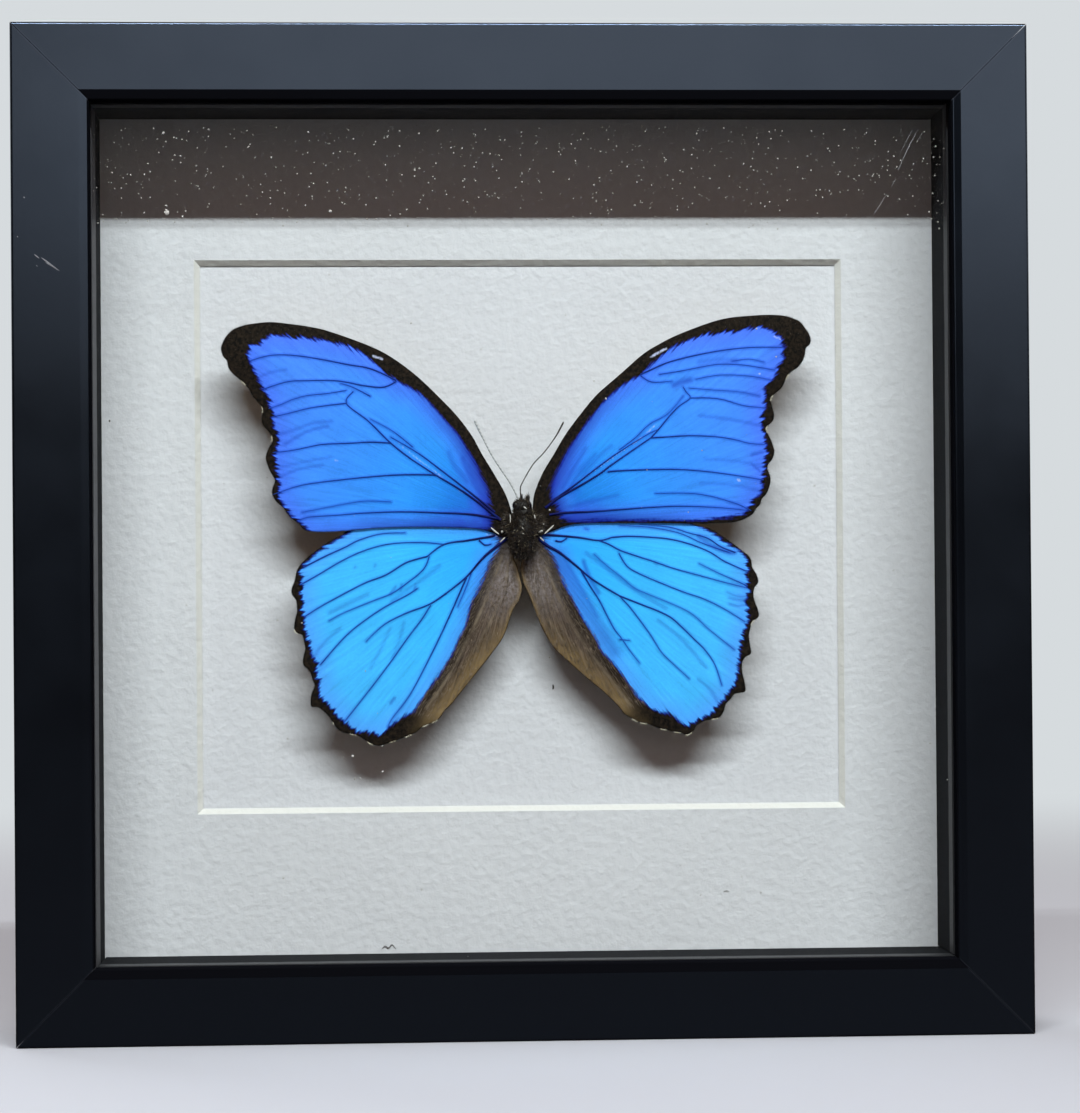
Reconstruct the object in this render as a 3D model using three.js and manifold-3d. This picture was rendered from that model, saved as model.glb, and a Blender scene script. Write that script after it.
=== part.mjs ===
// Framed butterfly specimen: a square black box frame with a glazed front, a deep black
// spacer, a white bevel-cut window mat and a blue morpho held on a pin over the mount board.
// Millimetres, +Z up, front faces -Y, origin under the middle of the bottom rail.
import * as THREE from "three";
import { mergeVertices } from "three/addons/utils/BufferGeometryUtils.js";
import Module from "manifold-3d";

const wasm = await Module();
wasm.setup();

// Driving dimensions of the frame
const OUTER = 250;
const DEPTH = 45;
const FACE_WIDTH = 19;
const REBATE_WIDTH = 7;
const LIP = 5.5;
const OUTER_ARRIS = 0.6;
const INNER_ARRIS = 0.7;
const INNER_SLOPE_WIDTH = 2.4;
const INNER_SLOPE_DROP = 0.5;
const GAP = 0.3;
const MITRE_GAP = 0.1;
const OVERCUT = 1;

// Thickness of each sheet in the stack, front to back
const GLASS = 2;
const SPACER_DEPTH = 24.6;
const MAT = 1.4;
const BOARD = 2;
const PANEL = 3;
const SHEET_PLAY = 1;
const WINDOW_WIDTH = 165;
const WINDOW_HEIGHT = 140.5;

// Back hardware
const HARDWARE = {
  plate: 0.7, nailHead: 0.6, nailHeadRadius: 2.2, nailRadius: 0.7, nailLength: 10, nailPoint: 2,
};
const TAB = { width: 8, length: 18, thickness: 0.5, bite: 4, spacing: 110 };
const HANGER = { width: 44, height: 9, teeth: 10, toothDepth: 2, nailSpacing: 36 };

// Specimen
const WING_PLANE = 22;
const WING_THICKNESS = 0.4;
const PIN_RADIUS = 0.3;
const PIN_HEIGHT = 124;
const PIN_BITE = 2.5;
const THORAX_HALF_DEPTH = 4.3;

// Worked out
const FRONT = -DEPTH / 2;
const HALF = OUTER / 2;
const REBATE_EDGE = FACE_WIDTH - REBATE_WIDTH;
const SHEET = OUTER - 2 * REBATE_EDGE - SHEET_PLAY;
const NAIL_TIP = DEPTH - HARDWARE.nailHead - HARDWARE.nailLength;
const RAIL_DEPTH = DEPTH - HARDWARE.nailHead - HARDWARE.plate - 2 * GAP;
const GLASS_FRONT = LIP + GAP;
const SPACER_FRONT = GLASS_FRONT + GLASS + GAP;
const MAT_FRONT = SPACER_FRONT + SPACER_DEPTH + GAP;
const BOARD_FRONT = MAT_FRONT + MAT + GAP;
const PANEL_FRONT = BOARD_FRONT + BOARD + GAP;
const TAB_FRONT = PANEL_FRONT + PANEL + GAP;

// Wing outlines as [x, z], each from the root along its front edge and back again
const WING_OUTLINES = {
  forewing_left: [
    [-3, 130.5], [-5.5, 136], [-8.5, 141], [-11.5, 147], [-15, 152], [-19, 156.5], [-23.5, 161.5],
    [-28, 165], [-32, 168.5], [-39, 173], [-46, 175.5], [-53.5, 177.5], [-60, 178.5], [-66, 178.5],
    [-71, 177.5], [-73.5, 176], [-75, 172], [-73.5, 168], [-71, 164], [-68, 160], [-65, 156.5],
    [-65, 153.5], [-63, 150], [-64.3, 144], [-62, 139], [-63, 135.5], [-60.5, 132], [-58, 129],
    [-55, 126.6], [-49, 126], [-37.5, 126.7], [-28, 127.2], [-19, 127.1], [-8.5, 126.5], [-2, 124.5],
  ],
  forewing_right: [
    [2.5, 130.5], [4.5, 137], [6.5, 142], [10, 147], [13.5, 152], [17.5, 157], [21.5, 161],
    [25.5, 165], [32.5, 170], [42.5, 176], [50, 178.5], [59, 179.8], [66.5, 179.5], [71, 177],
    [73, 174], [72, 171], [70.5, 167], [67, 162.5], [63.5, 159.5], [64, 155.5], [62, 151.5],
    [63.5, 145], [62.3, 141.5], [62.5, 137.5], [60, 132], [56.5, 129.4], [52, 128.1], [38, 127.8],
    [20, 127.5], [8, 126.5], [2, 124.5],
  ],
  hindwing_left: [
    [-2, 126], [-20, 126.2], [-36, 126.4], [-43.5, 126], [-47.5, 124], [-52, 121], [-55, 118.5],
    [-57, 116], [-57.5, 113.5], [-58.2, 111], [-57, 108], [-57, 105.5], [-57.5, 102], [-56, 100],
    [-55, 97], [-55.3, 92], [-53, 89], [-53.3, 82], [-49, 79.5], [-47, 76], [-42, 74.7], [-37.5, 72.1],
    [-35, 72.5], [-29, 74], [-23, 77], [-20.5, 78.5], [-19, 84], [-16.5, 88], [-13.5, 91], [-8, 97.5],
    [-5.5, 103], [-2.5, 109], [-1, 112], [-1.8, 116], [-2, 121],
  ],
  hindwing_right: [
    [2, 126], [20, 126.4], [38, 126.4], [50, 125.5], [53, 123], [56, 120], [58, 116], [59, 111.5],
    [57.5, 109], [59, 104], [57, 100], [57.3, 94], [54.5, 92], [55.8, 85.5], [52, 83.5], [50, 78.5],
    [42, 75], [34, 76], [24, 80.5], [17.3, 87], [14.5, 90.5], [10.5, 94.5], [7, 98], [4.5, 102.5],
    [2.5, 107], [0.6, 112.5], [1.8, 117], [2, 121],
  ],
};

// Antennae as [x, distance behind the front plane, z], from the head to the tip
const ANTENNAE = {
  antenna_left: [[-1.9, 19.6, 135.2], [-3.3, 19.4, 138], [-7.4, 19, 144.2], [-12, 18.6, 153.5]],
  antenna_right: [[-0.6, 19.5, 136.3], [0.1, 19.3, 138.1], [5.4, 18.9, 145.3], [10.4, 18.6, 153]],
};
const ANTENNA_RADIUS = 0.2;

const paint = (color, roughness, metalness = 0) =>
  new THREE.MeshStandardMaterial({ color, roughness, metalness });

const MATERIALS = {
  rail: paint(0x17181c, 0.45),
  glass: new THREE.MeshStandardMaterial({
    color: 0xf2f7f6, roughness: 0.05, transparent: true, opacity: 0.25,
  }),
  spacer: paint(0x222224, 0.8),
  mat: paint(0xe4e5e5, 0.9),
  board: paint(0xdfe0e0, 0.9),
  panel: paint(0x7a5a3c, 0.8),
  steel: paint(0xa4a6a8, 0.35, 0.9),
  blue: paint(0x3e9bff, 0.4),
  cuticle: paint(0x1c1512, 0.7),
};

// A closed three.js geometry as a manifold solid
function solid(geometry) {
  const bare = geometry.index ? geometry.toNonIndexed() : geometry.clone();
  bare.deleteAttribute("normal");
  bare.deleteAttribute("uv");
  const merged = mergeVertices(bare, 1e-4);
  return new wasm.Manifold(new wasm.Mesh({
    numProp: 3,
    vertProperties: new Float32Array(merged.attributes.position.array),
    triVerts: new Uint32Array(merged.index.array),
  }));
}

// A manifold solid as a three.js geometry
function geometryOf(body) {
  const mesh = body.getMesh();
  const geometry = new THREE.BufferGeometry();
  geometry.setAttribute("position", new THREE.BufferAttribute(mesh.vertProperties, 3));
  geometry.setIndex(new THREE.BufferAttribute(mesh.triVerts, 1));
  geometry.computeVertexNormals();
  return geometry;
}

function piece(name, geometry, material) {
  const mesh = new THREE.Mesh(geometry, material);
  mesh.name = name;
  return mesh;
}

// A flat shape drawn in [x, z] with its front face `behind` millimetres behind the front plane
function sheet(shape, thickness, behind, curveSegments = 12) {
  const geometry = new THREE.ExtrudeGeometry(shape, {
    depth: thickness, bevelEnabled: false, curveSegments,
  });
  geometry.rotateX(Math.PI / 2);
  geometry.translate(0, FRONT + behind + thickness, 0);
  return geometry;
}

function box(width, depth, height, x, behind, z) {
  const geometry = new THREE.BoxGeometry(width, depth, height);
  geometry.translate(x, FRONT + behind + depth / 2, z);
  return geometry;
}

function rectangle(width, height) {
  const shape = new THREE.Shape();
  shape.moveTo(-width / 2, -height / 2);
  shape.lineTo(width / 2, -height / 2);
  shape.lineTo(width / 2, height / 2);
  shape.lineTo(-width / 2, height / 2);
  shape.closePath();
  return shape;
}

// A rod along Y from `behind` to `behind + length`
function rod(radius, length, x, behind, z, sides = 24) {
  const geometry = new THREE.CylinderGeometry(radius, radius, length, sides);
  geometry.translate(x, FRONT + behind + length / 2, z);
  return geometry;
}

// The moulding's section as [distance in from the outer edge, distance behind the front plane]
function mouldingSection() {
  const slopeStart = FACE_WIDTH - INNER_SLOPE_WIDTH;
  const arrisMiddle = INNER_SLOPE_DROP + INNER_ARRIS;
  const section = new THREE.Shape();
  section.moveTo(0, RAIL_DEPTH);
  section.lineTo(0, OUTER_ARRIS);
  section.absarc(OUTER_ARRIS, OUTER_ARRIS, OUTER_ARRIS, Math.PI, 1.5 * Math.PI);
  section.lineTo(slopeStart, 0);
  section.lineTo(FACE_WIDTH - INNER_ARRIS, INNER_SLOPE_DROP);
  section.absarc(FACE_WIDTH - INNER_ARRIS, arrisMiddle, INNER_ARRIS, 1.5 * Math.PI, 2 * Math.PI);
  section.lineTo(FACE_WIDTH, LIP);
  section.lineTo(REBATE_EDGE, LIP);
  section.lineTo(REBATE_EDGE, RAIL_DEPTH);
  section.closePath();
  return section;
}

// The top rail about the frame's centre: the section stretched to mitres at both ends
function mitredRail() {
  const geometry = new THREE.ExtrudeGeometry(mouldingSection(), {
    depth: 1, bevelEnabled: false, curveSegments: 5,
  });
  const position = geometry.attributes.position;
  for (let i = 0; i < position.count; i += 1) {
    const inward = position.getX(i);
    const behind = position.getY(i);
    const end = position.getZ(i) > 0.5 ? 1 : -1;
    position.setXYZ(i, end * (HALF - inward - MITRE_GAP), FRONT + behind, HALF - inward);
  }
  return geometry;
}

// A rail with slots for its two panel tabs and, on the top rail, holes for the hanger's nails
function railGeometry(withHanger) {
  const slotDepth = TAB.bite + GAP;
  let body = solid(mitredRail());
  for (const side of [-1, 1]) {
    const slot = box(
      TAB.width + 2 * GAP, TAB.thickness + 2 * GAP, 2 * slotDepth,
      side * TAB.spacing / 2, TAB_FRONT - GAP, HALF - REBATE_EDGE,
    );
    body = body.subtract(solid(slot));
  }
  if (withHanger) {
    for (const side of [-1, 1]) {
      const hole = rod(
        HARDWARE.nailRadius + GAP, HARDWARE.nailLength,
        side * HANGER.nailSpacing / 2, NAIL_TIP - GAP, hangerMiddle(),
      );
      body = body.subtract(solid(hole));
    }
  }
  return geometryOf(body);
}

// Height of the hanger's nails above the frame's centre
function hangerMiddle() {
  return HALF - REBATE_EDGE / 2;
}

// A flat steel strip bitten into the rail, its free end rounded over the backing panel
function tabGeometry(x) {
  const radius = TAB.width / 2;
  const top = HALF - REBATE_EDGE + TAB.bite;
  const bottom = top - TAB.length + radius;
  const shape = new THREE.Shape();
  shape.moveTo(x + radius, top);
  shape.lineTo(x - radius, top);
  shape.lineTo(x - radius, bottom);
  shape.absarc(x, bottom, radius, Math.PI, 2 * Math.PI);
  shape.closePath();
  return sheet(shape, TAB.thickness, TAB_FRONT, 8);
}

// The sawtooth plate: teeth along its lower edge, a hole near each end
function hangerGeometry() {
  const top = hangerMiddle() + HANGER.height / 2;
  const bottom = hangerMiddle() - HANGER.height / 2;
  const toothed = HANGER.nailSpacing - 4 * HARDWARE.nailHeadRadius;
  const pitch = toothed / HANGER.teeth;
  const shape = new THREE.Shape();
  shape.moveTo(-HANGER.width / 2, top);
  shape.lineTo(-HANGER.width / 2, bottom);
  shape.lineTo(-toothed / 2, bottom);
  for (let i = 0; i < HANGER.teeth; i += 1) {
    const start = -toothed / 2 + i * pitch;
    shape.lineTo(start + pitch / 2, bottom + HANGER.toothDepth);
    shape.lineTo(start + pitch, bottom);
  }
  shape.lineTo(HANGER.width / 2, bottom);
  shape.lineTo(HANGER.width / 2, top);
  shape.closePath();
  for (const side of [-1, 1]) {
    const hole = new THREE.Path();
    hole.absarc(side * HANGER.nailSpacing / 2, hangerMiddle(), HARDWARE.nailRadius + GAP, 0, 2 * Math.PI);
    shape.holes.push(hole);
  }
  return sheet(shape, HARDWARE.plate, RAIL_DEPTH + GAP, 8);
}

// A round nail: its shank in the rail, its head over the hanger plate
function nailGeometry(x) {
  const headFront = DEPTH - HARDWARE.nailHead;
  const profile = [
    [0, NAIL_TIP], [HARDWARE.nailRadius, NAIL_TIP + HARDWARE.nailPoint],
    [HARDWARE.nailRadius, headFront], [HARDWARE.nailHeadRadius, headFront],
    [HARDWARE.nailHeadRadius, DEPTH], [0, DEPTH],
  ].map(([radius, behind]) => new THREE.Vector2(radius, FRONT + behind));
  const geometry = new THREE.LatheGeometry(profile, 24);
  geometry.translate(x, 0, hangerMiddle());
  return geometry;
}

// One strip of the spacer, butted against the next one round the frame
function spacerGeometry() {
  const wall = REBATE_WIDTH - SHEET_PLAY / 2;
  const length = SHEET - wall - GAP;
  const outerFace = SHEET / 2;
  return box(
    length, SPACER_DEPTH, wall, -outerFace + length / 2, SPACER_FRONT, outerFace - wall / 2,
  );
}

// The window mat: its opening bevelled at 45 degrees, smaller at the back
function matGeometry() {
  const window = new THREE.BufferGeometry();
  const corners = [[-1, -1], [1, -1], [1, 1], [-1, 1]];
  const ring = (grow, y) => corners.flatMap(([x, z]) => [
    x * (WINDOW_WIDTH / 2 + grow), y, z * (WINDOW_HEIGHT / 2 + grow),
  ]);
  const front = FRONT + MAT_FRONT;
  window.setAttribute("position", new THREE.Float32BufferAttribute([
    ...ring(OVERCUT, front - OVERCUT), ...ring(-MAT - OVERCUT, front + MAT + OVERCUT),
  ], 3));
  window.setIndex([
    0, 1, 2, 0, 2, 3, 4, 6, 5, 4, 7, 6,
    0, 5, 1, 0, 4, 5, 1, 6, 2, 1, 5, 6, 2, 7, 3, 2, 6, 7, 3, 4, 0, 3, 7, 4,
  ]);
  const blank = solid(sheet(rectangle(SHEET, SHEET), MAT, MAT_FRONT));
  return geometryOf(blank.subtract(solid(window)));
}

// Head, thorax and palps as ellipsoids grown together; `grow` makes the wings' clearance
function bodySolid(grow) {
  const lobes = [
    { radii: [4, THORAX_HALF_DEPTH, 7.8], middle: [0.2, WING_PLANE, 124.6] },
    { radii: [2.9, 2.8, 2.6], middle: [0, 20.6, 132.2] },
    { radii: [0.6, 0.8, 1.3], middle: [-0.2, 19.6, 134.3] },
    { radii: [0.6, 0.8, 1.3], middle: [1.5, 19.6, 134.3] },
  ];
  let body = null;
  for (const { radii, middle } of lobes) {
    const lobe = new THREE.SphereGeometry(1, 20, 14);
    lobe.scale(radii[0] + grow, radii[1] + grow, radii[2] + grow);
    lobe.translate(middle[0], FRONT + middle[1], middle[2]);
    body = body ? body.add(solid(lobe)) : solid(lobe);
  }
  return body;
}

// A wing as a thin plate through its outline, cleared round the body
function wingGeometry(name) {
  const points = WING_OUTLINES[name].map(([x, z]) => new THREE.Vector2(x, z));
  const shape = new THREE.Shape();
  shape.moveTo(points[0].x, points[0].y);
  shape.splineThru(points.slice(1));
  shape.closePath();
  const behind = name.startsWith("fore") ? WING_PLANE - WING_THICKNESS : WING_PLANE + GAP;
  const plate = solid(sheet(shape, WING_THICKNESS, behind, 2));
  return geometryOf(plate.subtract(bodySolid(GAP)));
}

// A hair-thin rod from the head to the antenna's tip
function antennaGeometry(name) {
  const path = new THREE.CatmullRomCurve3(
    ANTENNAE[name].map(([x, behind, z]) => new THREE.Vector3(x, FRONT + behind, z)),
  );
  const section = new THREE.Shape();
  section.absarc(0, 0, ANTENNA_RADIUS, 0, 2 * Math.PI);
  return new THREE.ExtrudeGeometry(section, { steps: 16, curveSegments: 8, extrudePath: path });
}

const specimen = new THREE.Group();

// Frame, spacer, tabs and hanger turn round the frame's centre
const frame = new THREE.Group();
frame.position.z = HALF;
for (const [turn, side] of ["top", "right", "bottom", "left"].entries()) {
  const quarter = new THREE.Group();
  quarter.rotation.y = turn * Math.PI / 2;
  quarter.add(piece(`rail_${side}`, railGeometry(side === "top"), MATERIALS.rail));
  quarter.add(piece(`spacer_${side}`, spacerGeometry(), MATERIALS.spacer));
  quarter.add(piece(`tab_${side}_1`, tabGeometry(-TAB.spacing / 2), MATERIALS.steel));
  quarter.add(piece(`tab_${side}_2`, tabGeometry(TAB.spacing / 2), MATERIALS.steel));
  frame.add(quarter);
}
frame.add(piece("hanger_plate", hangerGeometry(), MATERIALS.steel));
frame.add(piece("hanger_nail_1", nailGeometry(-HANGER.nailSpacing / 2), MATERIALS.steel));
frame.add(piece("hanger_nail_2", nailGeometry(HANGER.nailSpacing / 2), MATERIALS.steel));

// The sheets in the rebate
frame.add(piece("glass_pane", box(SHEET, GLASS, SHEET, 0, GLASS_FRONT, 0), MATERIALS.glass));
frame.add(piece("window_mat", matGeometry(), MATERIALS.mat));
const pinHole = rod(
  PIN_RADIUS + GAP, BOARD + 2 * OVERCUT, 0, BOARD_FRONT - OVERCUT, PIN_HEIGHT - HALF,
);
const board = solid(box(SHEET, BOARD, SHEET, 0, BOARD_FRONT, 0)).subtract(solid(pinHole));
frame.add(piece("mount_board", geometryOf(board), MATERIALS.board));
frame.add(piece("backing_panel", box(SHEET, PANEL, SHEET, 0, PANEL_FRONT, 0), MATERIALS.panel));
specimen.add(frame);

// The butterfly on its pin
const pinFront = WING_PLANE + THORAX_HALF_DEPTH - PIN_BITE;
const pinBore = rod(PIN_RADIUS + GAP, PIN_BITE + OVERCUT, 0, pinFront - GAP, PIN_HEIGHT);
const thorax = bodySolid(0).subtract(solid(pinBore));
specimen.add(piece("butterfly_body", geometryOf(thorax), MATERIALS.cuticle));
for (const name of Object.keys(WING_OUTLINES)) {
  specimen.add(piece(name, wingGeometry(name), MATERIALS.blue));
}
for (const name of Object.keys(ANTENNAE)) {
  specimen.add(piece(name, antennaGeometry(name), MATERIALS.cuticle));
}
const pinLength = BOARD_FRONT + BOARD - pinFront;
specimen.add(piece("specimen_pin", rod(PIN_RADIUS, pinLength, 0, pinFront, PIN_HEIGHT), MATERIALS.steel));

export default specimen;
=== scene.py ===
import math

import bpy
import numpy as np
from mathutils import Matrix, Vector, noise
from mathutils.geometry import delaunay_2d_cdt


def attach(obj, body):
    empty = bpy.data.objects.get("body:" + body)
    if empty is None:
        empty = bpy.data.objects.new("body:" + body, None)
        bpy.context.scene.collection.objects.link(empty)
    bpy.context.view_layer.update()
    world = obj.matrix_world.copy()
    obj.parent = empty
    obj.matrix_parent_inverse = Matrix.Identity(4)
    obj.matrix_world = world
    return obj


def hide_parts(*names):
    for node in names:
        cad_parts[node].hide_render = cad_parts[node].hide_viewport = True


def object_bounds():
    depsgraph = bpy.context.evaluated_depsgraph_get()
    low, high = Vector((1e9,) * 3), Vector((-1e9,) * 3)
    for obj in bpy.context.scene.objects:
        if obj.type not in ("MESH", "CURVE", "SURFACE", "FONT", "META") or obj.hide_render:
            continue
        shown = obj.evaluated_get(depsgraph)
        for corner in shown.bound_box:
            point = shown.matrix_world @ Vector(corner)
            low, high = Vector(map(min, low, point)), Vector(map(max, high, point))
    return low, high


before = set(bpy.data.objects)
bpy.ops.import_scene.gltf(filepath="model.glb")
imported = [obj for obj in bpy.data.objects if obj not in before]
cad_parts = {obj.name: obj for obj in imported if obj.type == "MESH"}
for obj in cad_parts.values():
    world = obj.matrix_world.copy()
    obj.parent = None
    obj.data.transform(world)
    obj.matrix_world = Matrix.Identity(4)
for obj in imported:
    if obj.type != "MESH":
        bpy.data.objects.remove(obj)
cad_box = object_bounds()
scene = bpy.context.scene
MM = 0.001
# The front plane of the moulding. Depths below are millimetres behind it.
FRONT = cad_box[0].y


# ---- Camera -------------------------------------------------------------------------------
# A short telephoto a little left of the middle and just below it, level with the butterfly,
# turned a few degrees so that the frame's left side swings away.
CAMERA_PLACE = (-0.0332, -0.8695, 0.0999)
CAMERA_TURN = (90.526, 0.450, -3.208)
LENS = 111.8
SENSOR = 36.0
SHIFT = (-0.0404, 0.0404)

camera_data = bpy.data.cameras.new("front_camera")
camera_data.lens = LENS
camera_data.sensor_width = SENSOR
camera_data.shift_x, camera_data.shift_y = SHIFT
camera = bpy.data.objects.new("front_camera", camera_data)
camera.location = CAMERA_PLACE
camera.rotation_euler = [math.radians(turn) for turn in CAMERA_TURN]
scene.collection.objects.link(camera)
scene.camera = camera
scene.view_settings.view_transform = "Standard"


# ---- Light and floor ----------------------------------------------------------------------
# Two long overhead tubes in front of the frame, which throw the lip's shadow across the mat,
# a low panel that lifts the rails, soft panels for the sides and back, and a dim warm room.
# The frame stands on a painted board that sweeps up behind it. Lengths here are in metres.
TUBE_DISTANCE = 1.05
TUBE_LENGTH = 1.35
TUBE_SIDE = 0.13
TUBE_THICKNESS = 0.027
LIP_HEIGHT = 0.231
# Each tube's angle above the lip in degrees, and its power in watts
TUBES = {"strong_tube": (37.8, 19.4), "weak_tube": (40.1, 9.9)}
COOL_WHITE = "FAFCFF"
SOFT_WHITE = "FFF5EC"
# The low panel is two lights in one place: what the lacquer mirrors, and what falls on the mat
LOW_PANEL = ((0.36, -2.0, 0.63), (0.36, 0, 0.63), (1.5, 0.5))
LOW_SHEEN_POWER = 3.9
LOW_FILL_POWER = 2.75
# The other panels: place, size, power
PANELS = {
    "back_panel": ((-0.9, 1.9, 1.1), (1.6, 1.0), 26),
    "left_panel": ((-2.2, 0.4, 0.9), (0.8, 1.2), 5),
    "right_panel": ((2.2, 0.3, 0.9), (0.8, 1.2), 7),
}
AIM_HEIGHT = 0.125


def linear(hex_colour):
    """An sRGB hex colour as a linear RGBA tuple."""
    parts = [int(hex_colour[i:i + 2], 16) / 255 for i in (0, 2, 4)]
    return (*(c / 12.92 if c <= 0.04045 else ((c + 0.055) / 1.055) ** 2.4 for c in parts), 1.0)


def connect(tree, value, socket):
    """Sets a socket to a value, or links it to a socket or to a node's first live output."""
    if isinstance(value, bpy.types.Node):
        value = next(output for output in value.outputs if output.enabled)
    if isinstance(value, bpy.types.NodeSocket):
        tree.links.new(value, socket)
    else:
        socket.default_value = value


def add(tree, kind, inputs=None, **settings):
    """Adds a node with its settings; each input is a value, a socket or another node."""
    made = tree.nodes.new(kind)
    for key, value in settings.items():
        setattr(made, key, value)
    for key, value in (inputs or {}).items():
        connect(tree, value, made.inputs[key])
    return made


def panel_light(name, place, target, size, power, colour):
    """A rectangular soft light that faces the target and isn't seen itself."""
    data = bpy.data.lights.new(name, "AREA")
    data.shape = "RECTANGLE"
    data.size, data.size_y = size
    data.energy = power
    data.color = linear(colour)[:3]
    light = bpy.data.objects.new(name, data)
    light.location = place
    light.rotation_euler = (Vector(target) - Vector(place)).to_track_quat("-Z", "Y").to_euler()
    light.visible_camera = False
    scene.collection.objects.link(light)
    return light


for name, (elevation, power) in TUBES.items():
    height = LIP_HEIGHT + TUBE_DISTANCE * math.tan(math.radians(elevation))
    panel_light(
        name, (TUBE_SIDE, -TUBE_DISTANCE, height), (TUBE_SIDE, 0, AIM_HEIGHT),
        (TUBE_LENGTH, TUBE_THICKNESS), power, COOL_WHITE,
    )
panel_light("low_panel_sheen", *LOW_PANEL, LOW_SHEEN_POWER, SOFT_WHITE).visible_diffuse = False
panel_light("low_panel_fill", *LOW_PANEL, LOW_FILL_POWER, SOFT_WHITE).visible_glossy = False
for name, (place, size, power) in PANELS.items():
    light = panel_light(name, place, (0, 0, AIM_HEIGHT), size, power, COOL_WHITE)
    # The back panel lights the hardboard, and the lacquer doesn't mirror it
    light.visible_glossy = name != "back_panel"

WALL_COLOUR = "D6DBDE"
FILL_COLOUR = (0.136, 0.064, 0.046, 1.0)
# What polished faces mirror of the dim room round the lights
ROOM_COLOUR = (0.014, 0.013, 0.014, 1.0)

world = bpy.data.worlds.new("studio")
world.use_nodes = True
world.node_tree.nodes.clear()
ray = add(world.node_tree, "ShaderNodeLightPath")
seen, fill, room = (
    add(world.node_tree, "ShaderNodeBackground", {"Color": colour})
    for colour in (linear(WALL_COLOUR), FILL_COLOUR, ROOM_COLOUR)
)
dim = add(world.node_tree, "ShaderNodeMixShader", {
    0: ray.outputs["Is Glossy Ray"], 1: fill, 2: room,
})
either = add(world.node_tree, "ShaderNodeMixShader", {
    0: ray.outputs["Is Camera Ray"], 1: dim, 2: seen,
})
add(world.node_tree, "ShaderNodeOutputWorld", {"Surface": either})
scene.world = world

FLOOR_SIZE = 6.0
FLOOR_COLOUR = "C9CED4"
# Noise scale of the roller's marks, about 4.5 mm
ROLLER_STIPPLE = 220.0
# The floor sweeps up into the backdrop between these distances, in metres
SWEEP_NEAR = 0.30
SWEEP_FAR = 1.30
# What the board looks like to the light that it throws back, which is dimmer than to the eye
FLOOR_BOUNCE = "3A3634"


def new_mesh(name, places, edges=(), faces=(), **layers):
    """A mesh in metres, with a number at each point for each named layer."""
    mesh = bpy.data.meshes.new(name)
    mesh.from_pydata([tuple(spot) for spot in places], list(edges), list(faces))
    for label, values in layers.items():
        layer = mesh.attributes.new(label, "FLOAT", "POINT")
        layer.data.foreach_set("value", np.asarray(values, np.float32))
    return mesh


def new_piece(name, mesh, material=None):
    """An object at the origin that holds the mesh, in that material."""
    if material:
        mesh.materials.append(material)
    piece = bpy.data.objects.new(name, mesh)
    scene.collection.objects.link(piece)
    return piece


def new_material(name):
    """A node material: its tree, its Principled shader and the Object coordinates."""
    material = bpy.data.materials.new(name)
    material.use_nodes = True
    tree = material.node_tree
    tree.nodes.clear()
    shader = add(tree, "ShaderNodeBsdfPrincipled")
    add(tree, "ShaderNodeOutputMaterial", {"Surface": shader})
    place = add(tree, "ShaderNodeTexCoord").outputs["Object"]
    return material, tree, shader, place


def feed(tree, shader, **inputs):
    """Links or sets the shader's inputs; an underscore stands for a space."""
    for key, value in inputs.items():
        connect(tree, value, shader.inputs[key.replace("_", " ")])


def show(tree, result):
    """Makes that node's result the material's surface."""
    output = next(node for node in tree.nodes if node.type == "OUTPUT_MATERIAL")
    connect(tree, result, output.inputs["Surface"])


def painted_floor():
    """Matt painted board: a pale, even surface with a faint roller stipple."""
    material, tree, shader, place = new_material("matt_painted_floor")
    stipple = add(tree, "ShaderNodeTexNoise", {
        "Vector": place, "Scale": ROLLER_STIPPLE, "Detail": 3.0,
    })
    bump = add(tree, "ShaderNodeBump", {"Height": stipple, "Strength": 0.08, "Distance": 0.4 * MM})
    ray = add(tree, "ShaderNodeLightPath")
    tone = add(tree, "ShaderNodeMix", {
        "Factor": ray.outputs["Is Camera Ray"], 6: linear(FLOOR_BOUNCE), 7: linear(FLOOR_COLOUR),
    }, data_type="RGBA")
    feed(tree, shader, Base_Color=tone, Roughness=0.75, Normal=bump)
    away = add(tree, "ShaderNodeVectorMath", {0: place}, operation="LENGTH")
    sweep = add(tree, "ShaderNodeMapRange", {
        "Value": away, "From Min": SWEEP_NEAR, "From Max": SWEEP_FAR,
    }, interpolation_type="SMOOTHSTEP")
    share = add(tree, "ShaderNodeMath", {
        0: sweep, 1: ray.outputs["Is Camera Ray"],
    }, operation="MULTIPLY")
    backdrop = add(tree, "ShaderNodeEmission", {"Color": linear(WALL_COLOUR)})
    both = add(tree, "ShaderNodeMixShader", {0: share, 1: shader, 2: backdrop})
    show(tree, both)
    return material


half = FLOOR_SIZE / 2
corners = [(-half, -half, 0), (half, -half, 0), (half, half, 0), (-half, half, 0)]
new_piece("floor", new_mesh("floor", corners, faces=[(0, 1, 2, 3)]), painted_floor())


# ---- Moulding -----------------------------------------------------------------------------
# Four lengths of rebated MDF moulding, mitred, glued and sprayed satin black. The spray is
# faintly uneven, thin along the mitres with a painted highlight on the joints' edges, matt on the
# inner edge and dull towards the foot.
FRAME_HALF = 125.0
LACQUER = "030304"
LACQUER_WORN_HIGHLIGHT = "3C3E46"
# Half the glue line's width, and how far the worn arris, lightened grey with a painted highlight,
# reaches from it
HAIRLINE = 0.13
MITRE_WEAR_AND_HIGHLIGHT = 0.5
ORANGE_PEEL = 1.6
DRAG_GRAIN = 1.1
# How much longer the drag marks run along the rail, as a share of scale
DRAG_STRETCH = 0.06
SMUDGES = 28.0
GLOSS = (0.175, 0.23)
# How far from the frame's middle the lacquer is matt: on the slope, or on the edge face alone
SLOPE_TOP = 108.5
EDGE_TOP = 106.2
MATT_BLACK = "0D0E12"
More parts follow.
